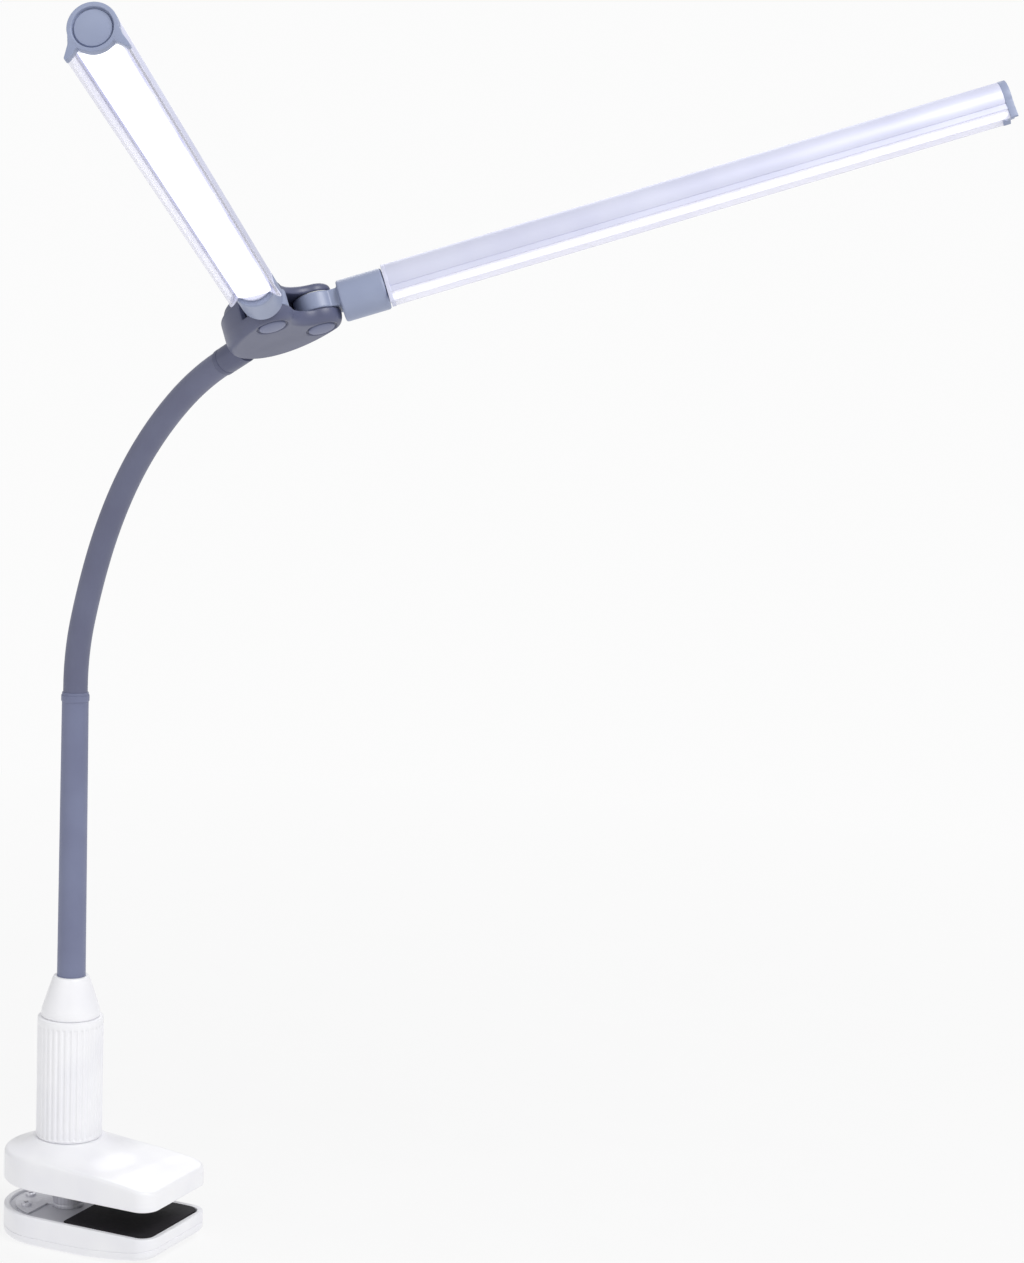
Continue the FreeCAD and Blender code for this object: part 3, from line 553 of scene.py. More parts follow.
def hub_axes():
    right, left = pose_vector("pan_right", "pos_m"), pose_vector("pan_left", "pos_m")
    normal = pose_vector("pan_right", "axis").normalized()
    side = (right - left).normalized()
    forward = side.cross(normal).normalized()
    return forward, side, normal, (right + left) / 2


def hub_place():
    forward, side, normal, centre = hub_axes()
    return local_frame(centre, forward, side, normal)


def knuckle_place(side_name):
    normal = hub_axes()[2]
    along = pose_vector("roll_" + side_name, "axis").normalized()
    across = normal.cross(along).normalized()
    return local_frame(pose_vector("pan_" + side_name, "pos_m"), along, across, normal)


def bar_place(side_name):
    """Frame on the shell's centre line, rolled as the bar rests."""
    roll = Matrix.Rotation(math.radians(BAR_ROLL[side_name]), 4, "X")
    down = Matrix.Translation((0, 0, -CONNECTOR_DROP))
    lift = Matrix.Translation((0, 0, SHELL_LIFT))
    return knuckle_place(side_name) @ down @ roll @ lift


CLIP = clip_place()
HUB = hub_place()
BARS = {side_name: bar_place(side_name) for side_name in ("right", "left")}


# ========== clip ==========

UPPER_LOW, UPPER_HIGH = extent("upper_jaw", CLIP)
LOWER_LOW, LOWER_HIGH = extent("lower_jaw", CLIP)
JAW_REAR, JAW_FRONT, JAW_HALF = UPPER_LOW.x, UPPER_HIGH.x, UPPER_HIGH.y
BOSS_TOP = UPPER_HIGH.z
UPPER_BOTTOM = UPPER_LOW.z


def jaw_outline(inset):
    """Plan of both jaws: round at the rear, rounded corners at the mouth."""
    half = JAW_HALF - inset
    corner = max(JAW_CORNER - inset, 1.0)
    front = JAW_FRONT - inset
    rear_centre = JAW_REAR + JAW_HALF
    points = arc(rear_centre, 0, half, 90, 270, 56)
    points += line((rear_centre, -half), (front - corner, -half), 18)
    points += arc(front - corner, corner - half, corner, 270, 360, 18)
    points += line((front, corner - half), (front, half - corner), 14)
    points += arc(front - corner, half - corner, corner, 0, 90, 18)
    points += line((front - corner, half), (rear_centre, half), 18)
    return points


def taper(x, level, change):
    """Height that bends away by the given change towards the mouth."""
    share = max(0.0, (x - TAPER_START) / (JAW_FRONT - TAPER_START))
    return level + change * share * share


def flare(x, y):
    """Rise of the top towards the post's foot."""
    radius = math.hypot(x, y)
    share = min(1.0, max(0.0, (BOSS_FOOT - radius) / (BOSS_FOOT - BOSS_RADIUS)))
    return (BOSS_TOP - UPPER_TOP) * share ** FLARE_POWER


def edge_drop(depth, edge):
    """How far a rounded edge has fallen at this distance in from the outline."""
    if depth >= edge:
        return 0.0
    return edge - math.sqrt(edge * edge - (edge - depth) ** 2)


def upper_height(x, y):
    return taper(x, UPPER_TOP, UPPER_TOP_AT_MOUTH - UPPER_TOP) + flare(x, y)


def towards_circle(outline, radius, share):
    """Ring part of the way from an outline to a circle about the post axis."""
    ring = []
    for x, y in outline:
        angle = math.atan2(y, x)
        cx, cy = radius * math.cos(angle), radius * math.sin(angle)
        ring.append((x + (cx - x) * share, y + (cy - y) * share))
    return ring


def make_upper_jaw():
    rings = []
    skirt = UPPER_BOTTOM + SKIRT_EDGE
    lower_edge = rounded([(WALL, skirt), (WALL - SKIRT_EDGE, UPPER_BOTTOM),
                          (SKIRT_EDGE, UPPER_BOTTOM), (0.0, skirt)], 0.4, 2)
    for inset, z in lower_edge:
        rings.append([(x, y, z) for x, y in jaw_outline(inset)])
    for share in (0.3, 0.6, 0.9):
        ring = []
        for x, y in jaw_outline(0):
            top = upper_height(x, y) - JAW_EDGE
            ring.append((x, y, skirt + (top - skirt) * share))
        rings.append(ring)
    for step in range(9):
        depth = JAW_EDGE * (1 - math.cos(math.radians(90 * step / 8)))
        drop = edge_drop(depth, JAW_EDGE)
        rings.append([(x, y, upper_height(x, y) - drop) for x, y in jaw_outline(depth)])
    inner = jaw_outline(JAW_EDGE)
    for step in range(1, 33):
        ring = towards_circle(inner, BOSS_RADIUS, 1 - (1 - step / 32) ** 1.5)
        rings.append([(x, y, upper_height(x, y)) for x, y in ring])
    for radius, z in ((BOSS_RADIUS - 0.3, BOSS_TOP), (POST_BORE, BOSS_TOP),
                      (POST_BORE, CEILING)):
        rings.append([(x, y, z) for x, y in towards_circle(inner, radius, 1.0)])
    rings.append([(x, y, CEILING) for x, y in jaw_outline(WALL)])
    jaw = loft("upper_jaw_shell", rings, closed=False)
    low, high = extent("cable_gland", CLIP)
    hole = turned(lathe("hole", [(INLET_RADIUS, 0), (INLET_RADIUS, 10)], 48), along_x())
    turned(hole, Matrix.Translation((low.x - 1, 0, (low.z + high.z) / 2)))
    combine(jaw, hole)
    smooth(jaw.data)
    finish(jaw, CLIP, "clip_and_post", "white_plastic", ["upper_jaw"])


def make_lower_jaw():
    bottom, rim = LOWER_LOW.z, LOWER_HIGH.z

    def under(x):
        return taper(x, bottom, LOWER_MOUTH_RISE)

    rings = []
    inner = jaw_outline(LOWER_EDGE)
    middle = (JAW_REAR + JAW_FRONT) / 2
    for share in (0.02, 0.15, 0.3, 0.45, 0.6, 0.75, 0.88):
        ring = [(middle + (x - middle) * share, y * share) for x, y in inner]
        rings.append([(x, y, under(x)) for x, y in ring])
    for step in range(9):
        depth = LOWER_EDGE * (1 - math.sin(math.radians(90 * step / 8)))
        rise = edge_drop(depth, LOWER_EDGE)
        rings.append([(x, y, under(x) + rise) for x, y in jaw_outline(depth)])
    for inset, lift in ((0, 0), (0.25, 0.15), (0.25, 0.45), (0, 0.6)):
        rings.append([(x, y, under(x) + SEAM_HEIGHT + lift) for x, y in jaw_outline(inset)])
    wall = [(0, rim - 2.0), (0, rim), (RIM_WIDTH, rim), (RIM_WIDTH, LOWER_LEDGE)]
    for inset, z in rounded(wall, RIM_EDGE, 4):
        rings.append([(x, y, z) for x, y in jaw_outline(inset)])
    tray = loft("lower_jaw_tray", rings)
    finish(tray, CLIP, "lower_jaw", "white_plastic", ["lower_jaw"])


def pad_outline(inset, rear, front, half, corner):
    """Rounded rectangle, with the mouth's corners in front and small ones behind."""
    small = max(PAD_REAR_CORNER - inset, 0.3)
    corner = max(corner - inset, 1.0)
    rear, front, half = rear + inset, front - inset, half - inset
    points = line((rear + small, -half), (front - corner, -half), 12)
    points += arc(front - corner, corner - half, corner, 270, 360, 16)
    points += line((front, corner - half), (front, half - corner), 12)
    points += arc(front - corner, half - corner, corner, 0, 90, 16)
    points += line((front - corner, half), (rear + small, half), 12)
    points += arc(rear + small, half - small, small, 90, 180, 6)
    points += line((rear, half - small), (rear, small - half), 12)
    points += arc(rear + small, small - half, small, 180, 270, 6)
    return points


def make_pad(node, body, corner):
    """Rubber pad with soft edges and flat faces."""
    low, high = extent(node, CLIP)
    sizes = (low.x, high.x - PAD_GAP, high.y - PAD_GAP, corner)
    rings = []
    profile = rounded([(0.0, low.z), (0.0, high.z), (2.0, high.z)], PAD_EDGE, 4)
    lower = [(inset, low.z + high.z - z) for inset, z in reversed(profile)]
    for inset, z in lower[:-1] + profile[1:]:
        rings.append([(x, y, z) for x, y in pad_outline(inset, *sizes)])
    pad = loft(node + "_skin", rings)
    finish(pad, CLIP, body, "black_rubber", [node])


def make_gland():
    low, high = extent("cable_gland", CLIP)
    length = high.x - low.x
    profile = [(2.3, 0.4), (2.7, 0.0), (4.7, 0.0), (5.7, 1.4), (5.7, 2.0), (4.4, 2.5), (4.4, 6.2),
               (4.85, 6.5), (4.85, length), (2.3, length)]
    gland = lathe("cable_gland_grommet", rounded(profile, 0.3, 3), 64, closed=False)
    turned(gland, along_x())
    turned(gland, Matrix.Translation((low.x, 0, (low.z + high.z) / 2)))
    finish(gland, CLIP, "clip_and_post", "black_rubber", ["cable_gland"])


def islands(node, place):
    """Centre and size of each separate solid of a CAD node, in a local frame."""
    mesh = frame["nodes"][node].data
    parent = list(range(len(mesh.vertices)))

    def root(index):
        while parent[index] != index:
            parent[index] = parent[parent[index]]
            index = parent[index]
        return index

    seen = {}
    inverse = place.inverted()
    points = [inverse @ v.co for v in mesh.vertices]
    for index, point in enumerate(points):
        key = tuple(round(c, 3) for c in point)
        parent[root(index)] = root(seen.setdefault(key, index))
    for polygon in mesh.polygons:
        corners = list(polygon.vertices)
        for corner in corners[1:]:
            parent[root(corner)] = root(corners[0])
    groups = {}
    for index, point in enumerate(points):
        groups.setdefault(root(index), []).append(point)
    boxes = []
    for group in groups.values():
        low = Vector([min(p[i] for p in group) for i in range(3)])
        high = Vector([max(p[i] for p in group) for i in range(3)])
        boxes.append((low, high))
    return sorted(boxes, key=lambda pair: (round(pair[0].x, 1), round(pair[0].y, 1)))


def screw_shape(name, low, high):
    """Pan head with a cross recess, on a plain shank."""
    radius = (high.x - low.x) / 2
    top = high.z - low.z
    head = top - SCREW_HEAD
    profile = [(AXIS, 0), (SCREW_SHANK - 0.25, 0), (SCREW_SHANK, 0.4), (SCREW_SHANK, head),
               (radius, head), (radius, head + 0.5), (radius * 0.86, top - 0.22),
               (radius * 0.55, top - 0.04), (AXIS, top)]
    screw = lathe(name, profile, 40)
    for angle in (0, 90):
        outline = [(-SCREW_SLOT, top - 0.9), (SCREW_SLOT, top - 0.9), (0.4, top + 1),
                   (-0.4, top + 1)]
        blade = prism("blade", outline, -radius * 0.55, radius * 0.55)
        combine(screw, turned(blade, Matrix.Rotation(math.radians(angle), 4, "Z")))
    smooth(screw.data)
    return turned(screw, Matrix.Translation(((low.x + high.x) / 2, (low.y + high.y) / 2, low.z)))


def make_bracket_screws():
    for index, (low, high) in enumerate(islands("bracket_screws", CLIP)):
        screw = screw_shape("bracket_screw_%d" % (index + 1), low, high)
        nodes = ["bracket_screws"] if index == 0 else []
        finish(screw, CLIP, "lower_jaw", "steel", nodes)


def make_column():
    """Sliding column with a turned foot, a plain run and a bore from the top."""
    low, high = extent("jaw_column", CLIP)
    radius = high.x
    profile = [(AXIS, low.z), (radius - 0.2, low.z), (radius, low.z + 0.3), (radius, low.z + 1.6),
               (radius - 0.35, low.z + 1.9), (radius - 0.35, low.z + 2.4), (radius, low.z + 2.7),
               (radius, high.z), (radius - 2, high.z), (radius - 2, low.z + 3), (AXIS, low.z + 3)]
    column = lathe("jaw_column_tube", rounded(profile, 0.2, 2), 96)
    finish(column, CLIP, "lower_jaw", "steel", ["jaw_column"])


# ========== post, cone and tube ==========

def rib_radius(angle, plain, depth):
    """Radius of the grip at an angle: flat-topped ribs between round grooves."""
    phase = (angle * RIB_COUNT / (2 * math.pi)) % 1.0
    across = abs(phase - 0.5) * 2
    groove = max(0.0, 1 - (across / GROOVE_SHARE) ** 2)
    return plain - depth * math.sqrt(groove)


def make_post():
    low, high = extent("post_handle", CLIP)
    plain = high.x
    foot, top = low.z, high.z
    rings = []
    count = RIB_COUNT * RIB_SAMPLES
    levels = [(plain - 6, foot, 0), (plain - 0.9, foot, 0), (plain - 0.45, foot + 0.15, 0),
              (plain - 0.1, foot + 0.5, 0), (plain, foot + 1.0, 0)]
    for share in (0.0, 0.25, 0.5, 0.8, 1.0):
        levels.append((plain, foot + 1.3 + RIB_FADE * share, math.sin(share * math.pi / 2)))
    rib_top = top - RIB_TOP_DROP
    levels.append((plain, (foot + rib_top) / 2, 1.0))
    for share in (1.0, 0.8, 0.5, 0.25, 0.0):
        levels.append((plain, rib_top - RIB_FADE * share, math.sin(share * math.pi / 2)))
    levels += [(plain, top - 0.9, 0), (plain - 0.12, top - 0.4, 0), (plain - 0.5, top - 0.08, 0),
               (plain - 1.0, top, 0), (plain - 8, top, 0)]
    for radius, z, share in levels:
        ring = []
        for index in range(count):
            angle = 2 * math.pi * index / count
            r = rib_radius(angle, radius, RIB_DEPTH * share)
            ring.append((r * math.cos(angle), r * math.sin(angle), z))
        rings.append(ring)
    post = loft("post_grip", rings)
    finish(post, CLIP, "clip_and_post", "white_plastic", ["post_handle"])


def make_cone():
    low, high = extent("post_cone", CLIP)
    foot = high.x
    profile = [(CONE_BORE, low.z), (foot, low.z), (foot, low.z + 3.6),
               (CONE_TOP + 0.6, high.z - 1.0), (CONE_TOP, high.z), (CONE_BORE, high.z)]
    cone = lathe("post_cone_cover", rounded(profile, 1.2, 6), 128, closed=False)
    finish(cone, CLIP, "clip_and_post", "white_plastic", ["post_cone"])


def make_lower_tube():
    low, high = extent("lower_tube", CLIP)
    foot = extent("post_cone", CLIP)[0].z + 4
    profile = [(6.0, low.z), (6.0, foot), (TUBE_FOOT, foot),
               ((TUBE_FOOT + TUBE_TOP) / 2, (foot + high.z) / 2), (TUBE_TOP, high.z - 0.4),
               (TUBE_TOP - 0.27, high.z), (5.4, high.z)]
    tube = lathe("lower_tube_skin", rounded(profile, 0.3, 3), 96)
    finish(tube, CLIP, "clip_and_post", "slate_paint", ["lower_tube"])


def make_tube_ring():
    low, high = extent("tube_ring", CLIP)
    radius = high.x
    profile = [(RING_BORE, low.z), (radius - 0.15, low.z), (radius, low.z + 0.5),
               (radius, high.z - 0.5), (radius - 0.15, high.z), (RING_BORE, high.z)]
    ring = lathe("tube_ring_band", rounded(profile, 0.3, 3), 96, closed=False)
    finish(ring, CLIP, "clip_and_post", "slate_paint", ["tube_ring"])


# ========== neck ==========

NECK_JOINTS = ("neck_bend", "neck_bend_2", "neck_sway", "neck_bend_3", "neck_sway_2",
               "neck_bend_4")
NECK_BODIES = ("clip_and_post", "neck_1", "neck_2", "neck_3", "neck_4", "neck_5", "hub")


def neck_line():
    """Points and directions at the bend centres, ending where the ferrule starts."""
    stations = [pose_vector(name, "pos_m") for name in NECK_JOINTS]
    low = extent("neck_ferrule", HUB)[0]
    stations.append(HUB @ Vector((low.x, 0, -STEM_DROP)))
    directions = [Vector((0, 0, 1))]
    for before, after in zip(stations, stations[1:]):
        chord = (after - before).normalized()
        last = directions[-1]
        directions.append((chord * 2 * chord.dot(last) - last).normalized())
    return stations, directions


def arc_point(start, end, direction, share):
    """Point and direction on the arc that leaves start along direction and reaches end."""
    chord = end - start
    half = direction.angle(chord)
    if half < 1e-5:
        return start.lerp(end, share), direction
    radius = chord.length / (2 * math.sin(half))
    turn = 2 * half * share
    across = (chord - direction * chord.dot(direction)).normalized()
    point = start + direction * (radius * math.sin(turn)) + across * (radius * (1 - math.cos(turn)))
    return point, direction * math.cos(turn) + across * math.sin(turn)


def sleeve_ring(point, direction, radius):
    side = Vector((0, 1, 0)).cross(direction).normalized()
    other = direction.cross(side)
    ring = []
    for index in range(SLEEVE_SIDES):
        angle = 2 * math.pi * index / SLEEVE_SIDES
        ring.append(point + (side * math.cos(angle) + other * math.sin(angle)) * radius * MM)
    return ring


def make_neck():
    """Smooth sleeve in six lengths, each drawn curved over one neck joint and baked in place."""
    stations, directions = neck_line()
    count = len(NECK_JOINTS)
    for index in range(count):
        rings = []
        if index == 0:
            for share in (0.0, 0.25, 0.5, 0.75):
                point = stations[0] + Vector((0, 0, -SLEEVE_FOOT * MM * (1 - share)))
                rings.append(sleeve_ring(point, directions[0], SLEEVE_RADIUS))
        else:
            for step in range(SLEEVE_STEPS // 2):
                share = 0.5 + 0.5 * step / (SLEEVE_STEPS // 2)
                point, direction = arc_point(stations[index - 1], stations[index],
                                             directions[index - 1], share)
                rings.append(sleeve_ring(point, direction, SLEEVE_RADIUS))
        last = 1.0 if index == count - 1 else 0.5
        steps = SLEEVE_STEPS if index == count - 1 else SLEEVE_STEPS // 2
        for step in range(steps + 1):
            point, direction = arc_point(stations[index], stations[index + 1],
                                         directions[index], last * step / steps)
            rings.append(sleeve_ring(point, direction, SLEEVE_RADIUS))
        sleeve = loft("neck_sleeve_length_%d" % (index + 1), rings)
        here, along = stations[index], directions[index]
        back = NECK_FOOT_BLEND if index == 0 else NECK_BLEND
        span = (here - along * back * MM, here + along * NECK_BLEND * MM)
        finish(sleeve, Matrix.Identity(4), (NECK_BODIES[index], NECK_BODIES[index + 1]),
               "slate_silicone", ["neck_sleeve_%d" % (index + 1)], blend=span)


def make_ferrule():
    low, high = extent("neck_ferrule", HUB)
    length = high.x - low.x
    radius = FERRULE_RADIUS
    profile = [(5.2, 0.0), (radius - 0.25, 0.0), (radius, 0.4), (radius, 3.0),
               (radius - 0.3, 3.25), (radius - 0.3, 3.6), (radius, 3.85), (radius, length - 9),
               (4.0, length - 8.6), (4.0, length), (2.0, length), (2.0, 0.0)]
    ferrule = lathe("neck_ferrule_collar", rounded(profile, 0.2, 3), 80, closed=False)
    turned(ferrule, along_x())
    turned(ferrule, Matrix.Translation((low.x, 0, -STEM_DROP)))
    finish(ferrule, HUB, "hub", "slate_plastic", ["neck_ferrule"])


# ========== hub ==========

def hub_outline(inset):
    """Butterfly plan: an oval rear, round lobes at the pivots and a notch in front."""
    lobe = LOBE_RADIUS - inset
    half_width = PIVOT_HALF + lobe
    reach = HUB_REACH - inset
    blend = math.radians(LOBE_BLEND)
    notch = (PIVOT_HALF - LOBE_RADIUS * math.sin(blend)) / math.sin(blend) + inset
    notch_x = (LOBE_RADIUS + notch - inset) * math.cos(blend)
    points = []
    for index in range(64):
        angle = math.pi / 2 + math.pi * index / 64
        back, across = abs(math.cos(angle)) ** HUB_FULLNESS, math.sin(angle)
        aside = math.copysign(abs(across) ** HUB_FULLNESS, across)
        points.append((-reach * back, half_width * aside))
    points += arc(0, -PIVOT_HALF, lobe, -90, LOBE_BLEND, 24)
    points += arc(notch_x, 0, notch, 180 + LOBE_BLEND, 180 - LOBE_BLEND, 20)
    points += arc(0, PIVOT_HALF, lobe, -LOBE_BLEND, 90, 24)
    return points


def hub_solid(name, profile):
    """Stack of hub outlines, given as (inset, z) pairs."""
    return loft(name, [[(x, y, z) for x, y in hub_outline(inset)] for inset, z in profile])


def slab(radius, low, high, y=0.0):
    return turned(lathe("slab", [(radius, low), (radius, high)], 72), Matrix.Translation((0, y, 0)))


def block(x_low, x_high, y_low, y_high, z_low, z_high):
    outline = [(x_low, y_low), (x_high, y_low), (x_high, y_high), (x_low, y_high)]
    return prism("block", outline, z_low, z_high, axis="Z")


def make_hub_lower():
    bottom = -SLOT_HALF - LOWER_PLATE
    across, up = LOWER_ROUND
    profile = [(across, bottom)]
    for step in range(1, 9):
        angle = math.radians(90 * step / 8)
        profile.append((across * (1 - math.sin(angle)), bottom + up * (1 - math.cos(angle))))
    profile += [(0.0, 0.0), (0.0, SLOT_HALF - 1.2), (0.35, SLOT_HALF - 0.3), (0.7, SLOT_HALF)]
    shell = hub_solid("hub_lower_moulding", profile)
    combine(shell, block(-SLOT_DEPTH, OUTSIDE, -OUTSIDE, OUTSIDE, -SLOT_HALF, SLOT_HALF + 1))
    for side in (-1, 1):
        y = side * PIVOT_HALF
        combine(shell, slab(SLOT_RADIUS, -SLOT_HALF, SLOT_HALF + 1, y))
        combine(shell, slab(CAP_RECESS, bottom - 1, bottom + CAP_RECESS_DEPTH, y))
    mould(shell, HUB_VOXEL, 3)
    finish(shell, HUB, "hub", "slate_plastic", ["hub_lower_shell"])


def make_hub_upper():
    top = SLOT_HALF + UPPER_PLATE
    profile = [(UPPER_INSET + 0.4, SLOT_HALF), (UPPER_INSET, SLOT_HALF + 0.4)]
    for step in range(9):
        angle = math.radians(90 * step / 8)
        inset = UPPER_INSET + UPPER_ROUND * (1 - math.cos(angle))
        profile.append((inset, top - UPPER_ROUND + UPPER_ROUND * math.sin(angle)))
    shell = hub_solid("hub_upper_moulding", profile)
    mould(shell, HUB_VOXEL, 3)
    finish(shell, HUB, "hub", "slate_plastic", ["hub_upper_shell"])


def make_pivot_caps():
    """Shallow domes in the round recesses below the pivots."""
    bottom = -SLOT_HALF - LOWER_PLATE
    for side_name, side in (("right", 1), ("left", -1)):
        profile = [(AXIS, bottom + CAP_SEAT - CAP_DOME)]
        for step in range(1, 13):
            angle = math.radians(90 * step / 12)
            radius = CAP_RADIUS * math.sin(angle) ** 0.9
            profile.append((radius, bottom + CAP_SEAT - CAP_DOME * math.cos(angle) ** 0.8))
        profile += [(CAP_RADIUS, bottom + CAP_BACK), (AXIS, bottom + CAP_BACK)]
        cap = turned(lathe("pivot_cap_%s_dome" % side_name, profile, 72),
                     Matrix.Translation((0, side * PIVOT_HALF, 0)))
        finish(cap, HUB, "hub", "slate_paint", ["pivot_cap_" + side_name])


# ========== light bars ==========

def lying(name, profile, steps=96, closed=True):
    """Lathed shape along the bar, from (radius, x) points."""
    return turned(lathe(name, profile, steps, closed), along_x())


def make_knuckle(side_name):
    tongue = lathe("knuckle_%s_moulding" % side_name,
                   rounded([(AXIS, -TONGUE_HALF), (TONGUE_RADIUS, -TONGUE_HALF),
                            (TONGUE_RADIUS, TONGUE_HALF), (AXIS, TONGUE_HALF)],
                           TONGUE_EDGE, 4), 96)
    neck = block(0, CONNECTOR_START + 2, -TONGUE_WIDTH / 2, TONGUE_WIDTH / 2,
                 -TONGUE_HALF, TONGUE_HALF)
    combine(tongue, neck, "UNION")
    start, end, radius = CONNECTOR_START, CONNECTOR_END, CONNECTOR_RADIUS
    profile = [(AXIS, start), (radius, start), (radius, end), (AXIS, end)]
    barrel = lying("barrel", rounded(profile, CONNECTOR_EDGE, 5))
    turned(barrel, Matrix.Translation((0, 0, -CONNECTOR_DROP)))
    combine(tongue, barrel, "UNION")
    mould(tongue, KNUCKLE_VOXEL, 2)
    knuckle = "knuckle_" + side_name
    finish(tongue, knuckle_place(side_name), knuckle, "slate_light", [knuckle])


def ear_outline(radius):
    """Round cap with two thin ears that splay from its lower half."""
    tip_y, tip_z = EAR_TIP
    right = [(tip_y - 1.7, tip_z + 0.5), (tip_y - 0.6, tip_z), (tip_y, tip_z + 0.7),
             (radius + 0.45, EAR_ROOT)]
    points = arc(0, 0, radius, -8, 188, 72)
    points += [(-y, z) for y, z in reversed(right)]
    points += arc(0, 0, radius - 0.15, 222, 318, 36)
    points += right
    return rounded_loop(points, EAR_EDGE, 3)


def make_near_ring(side_name, place):
    low, high = extent("near_ring_" + side_name, place)
    ring = prism("near_ring_%s_plate" % side_name, ear_outline(PLATE_RADIUS), low.x, high.x,
                 RING_EDGE)
    finish(ring, place, "bar_" + side_name, "white_shell", ["near_ring_" + side_name])


def make_end_cap(side_name, place):
    """End plate with a sunk round panel."""
    low, high = extent("end_cap_" + side_name, place)
    cap = prism("end_cap_%s_plate" % side_name, ear_outline(PLATE_RADIUS), low.x, high.x)
    panel, groove, past = high.x - PANEL_DEPTH, high.x - PANEL_GROOVE, high.x + 0.5
    bowl = [(AXIS, panel), (PANEL_RADIUS - 0.7, panel), (PANEL_RADIUS - 0.45, groove),
            (PANEL_RADIUS - 0.1, groove), (PANEL_RADIUS + 0.25, past), (AXIS, past)]
    combine(cap, lying("bowl", bowl))
    soften(cap, 0.28, 3, 35)
    finish(cap, place, "bar_" + side_name, "slate_light", ["end_cap_" + side_name])


def make_shell(side_name, place):
    """Round-topped hollow shell, closed below by a flat web."""
    low, high = extent("bar_shell_" + side_name, place)
    lean = math.degrees(math.asin(-SHELL_SKIRT / SHELL_RADIUS))
    inner = SHELL_RADIUS - SHELL_WALL
    outline = arc(0, 0, SHELL_RADIUS, -lean, 180 + lean, 96)
    foot = math.sqrt(SHELL_RADIUS ** 2 - SHELL_SKIRT ** 2)
    inner_foot = math.sqrt(inner ** 2 - SHELL_SKIRT ** 2)
    inner_web = math.sqrt(inner ** 2 - WEB ** 2)
    outline += [(-foot, SHELL_SKIRT), (-inner_foot, SHELL_SKIRT), (-inner_web, WEB),
                (inner_web, WEB), (inner_foot, SHELL_SKIRT)]
    shell = prism("bar_shell_%s_skin" % side_name, outline, low.x, high.x, 0.15)
    finish(shell, place, "bar_" + side_name, "white_shell", ["bar_shell_" + side_name])


def wing_part(name, side, top, bottom, low, high):
    """Length of wing between two (y, z) points of its outer face."""
    outline = [(side * top[0], top[1]), (side * bottom[0], bottom[1]),
               (side * (bottom[0] - WING_THICK), bottom[1]), (side * (top[0] - WING_THICK), top[1])]
    return prism(name, rounded_loop(outline, 0.3, 4), low.x, high.x)


def make_wings(side_name, place):
    """Two flared wings, each painted above and clear below."""
    low, high = extent("lens_wings_" + side_name, place)
    root = Vector((WING_ROOT, SHELL_SKIRT))
    tip = Vector((high.y, low.z))
    seam = root.lerp(tip, WING_FROSTED)
    for wing_name, side in (("near", 1), ("far", -1)):
        name = "lens_wing_%s_%s" % (side_name, wing_name)
        clear = wing_part(name, side, seam, tip, low, high)
        nodes = ["lens_wings_" + side_name] if side > 0 else []
        finish(clear, place, "bar_" + side_name, "clear_plastic", nodes)
        skirt = wing_part(name + "_skirt", side, root, seam, low, high)
        finish(skirt, place, "bar_" + side_name, "white_shell")


def make_diffuser(side_name, place):
    """Frosted trough with round lower edges and a faintly crowned face."""
    low, high = extent("diffuser_" + side_name, place)
    half, drop = high.y, low.z
    outer = [(-half + 0.4, high.z), (-half, drop + 1.2), (-half + 1.6, drop + 0.12),
             (0, drop), (half - 1.6, drop + 0.12), (half, drop + 1.2), (half - 0.4, high.z)]
    inner = [(half - 1.4, high.z), (half - 1.1, drop + 1.7), (half - 1.9, drop + 1.1),
             (-half + 1.9, drop + 1.1), (-half + 1.1, drop + 1.7), (-half + 1.4, high.z)]
    outline = rounded(outer, 1.1, 6) + rounded(inner, 0.4, 2)
    trough = prism("diffuser_%s_lens" % side_name, outline, low.x, high.x)
    finish(trough, place, "bar_" + side_name, "lit_diffuser", ["diffuser_" + side_name])


def make_bars():
    for side_name, place in BARS.items():
        make_knuckle(side_name)
        make_near_ring(side_name, place)
        make_end_cap(side_name, place)
        make_shell(side_name, place)
        make_wings(side_name, place)
        make_diffuser(side_name, place)


# ========== camera, light, stage ==========

def make_camera():
    azimuth, pitch = math.radians(CAMERA_AZIMUTH), math.radians(CAMERA_PITCH)
    roll = math.radians(CAMERA_ROLL)
    look = Vector((-math.sin(azimuth) * math.cos(pitch), math.cos(azimuth) * math.cos(pitch),
                   -math.sin(pitch)))
    right = look.cross(Vector((0, 0, 1))).normalized()
    up = right.cross(look)
    right, up = (right * math.cos(roll) + up * math.sin(roll),
                 up * math.cos(roll) - right * math.sin(roll))
    data = bpy.data.cameras.new("camera")
    data.lens = CAMERA_LENS
    data.sensor_width = SENSOR
    data.sensor_fit = "AUTO"
    data.clip_start = 0.01
    camera = bpy.data.objects.new("camera", data)
    bpy.context.scene.collection.objects.link(camera)
    matrix = Matrix.Identity(4)
    for column, axis in enumerate((right, up, -look)):
        for row in range(3):
            matrix[row][column] = axis[row]
    matrix.translation = Vector(CAMERA_PLACE)
    camera.matrix_world = matrix
    bpy.context.scene.camera = camera


def make_light(name, place, target, size, power):
    data = bpy.data.lights.new(name, "AREA")
    data.shape = "DISK"
    data.size = size
    data.energy = power
    light = bpy.data.objects.new(name, data)
    bpy.context.scene.collection.objects.link(light)
    light.location = place
    light.rotation_euler = (Vector(target) - Vector(place)).to_track_quat("-Z", "Y").to_euler()


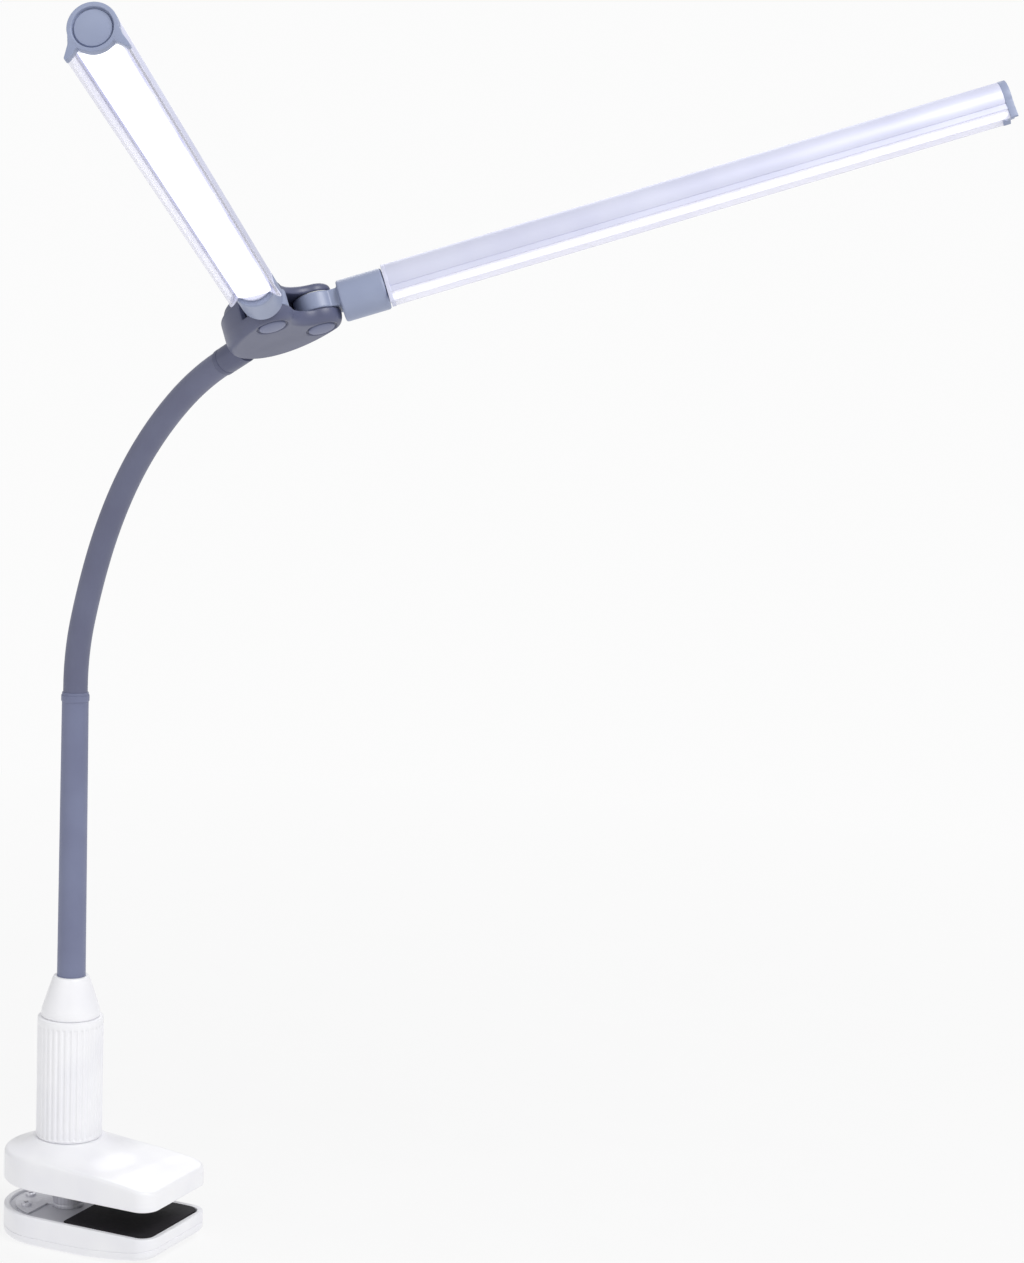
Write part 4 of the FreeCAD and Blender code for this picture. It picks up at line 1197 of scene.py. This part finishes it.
def make_world():
    """White surroundings that light the object less than they show."""
    world = bpy.data.worlds.new("studio")
    bpy.context.scene.world = world
    world.use_nodes = True
    tree = world.node_tree
    background = tree.nodes["Background"]
    background.inputs["Color"].default_value = (1, 1, 1, 1)
    path = tree.nodes.new("ShaderNodeLightPath")
    spread = tree.nodes.new("ShaderNodeMapRange")
    spread.inputs["To Min"].default_value = WORLD_LIGHT
    spread.inputs["To Max"].default_value = WORLD_SEEN
    tree.links.new(path.outputs["Is Camera Ray"], spread.inputs["Value"])
    tree.links.new(spread.outputs["Result"], background.inputs["Strength"])


def make_floor():
    """Pale floor that fades into the white surroundings."""
    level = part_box("lower_jaw")[0].z
    outline = arc(0, 0, FLOOR_RADIUS, 0, 360, 96)
    floor = build("floor", [(x, y, level) for x, y in outline], [tuple(range(len(outline)))])
    look = Nodes("floor_white", roughness=0.9, specular_ior_level=0.0)
    length = look.node("VectorMath", operation="LENGTH")
    look.link(look.coordinates, length.inputs[0])
    fade = look.node("MapRange")
    fade.inputs["From Min"].default_value = FLOOR_FADE[0]
    fade.inputs["From Max"].default_value = FLOOR_FADE[1]
    fade.inputs["To Min"].default_value = 0.8
    look.link(length.outputs["Value"], fade.inputs["Value"])
    look.colours(look.noise(20.0), (0.88, 0.88, 0.88), (0.9, 0.9, 0.9))
    glow = look.node("Emission")
    glow.inputs["Strength"].default_value = WORLD_SEEN
    mix = look.node("MixShader")
    look.link(fade.outputs["Result"], mix.inputs["Fac"])
    look.link(look.shader.outputs["BSDF"], mix.inputs[1])
    look.link(glow.outputs["Emission"], mix.inputs[2])
    look.link(mix.outputs["Shader"], look.tree.nodes["Material Output"].inputs["Surface"])
    floor.data.materials.append(look.material)


def finish_hidden_nodes():
    """Procedural finishes for the CAD nodes that stay."""
    slots = {part["node"]: part["material_slot"] for part in frame["record"]["subparts"]}
    for name, node in frame["nodes"].items():
        node.data.materials.clear()
        node.data.materials.append(FINISHES[slots[name]])


def main():
    make_camera()
    make_world()
    for light in LIGHTS:
        make_light(*light)
    make_floor()
    make_upper_jaw()
    make_lower_jaw()
    make_pad("upper_pad", "clip_and_post", JAW_CORNER - UPPER_PAD_INSET)
    make_pad("lower_pad", "lower_jaw", JAW_CORNER - LOWER_PAD_INSET)
    make_gland()
    make_bracket_screws()
    make_column()
    make_post()
    make_cone()
    make_lower_tube()
    make_tube_ring()
    make_neck()
    make_ferrule()
    make_hub_lower()
    make_hub_upper()
    make_pivot_caps()
    make_bars()
    finish_hidden_nodes()
    bpy.context.scene.view_settings.view_transform = "Standard"


main()
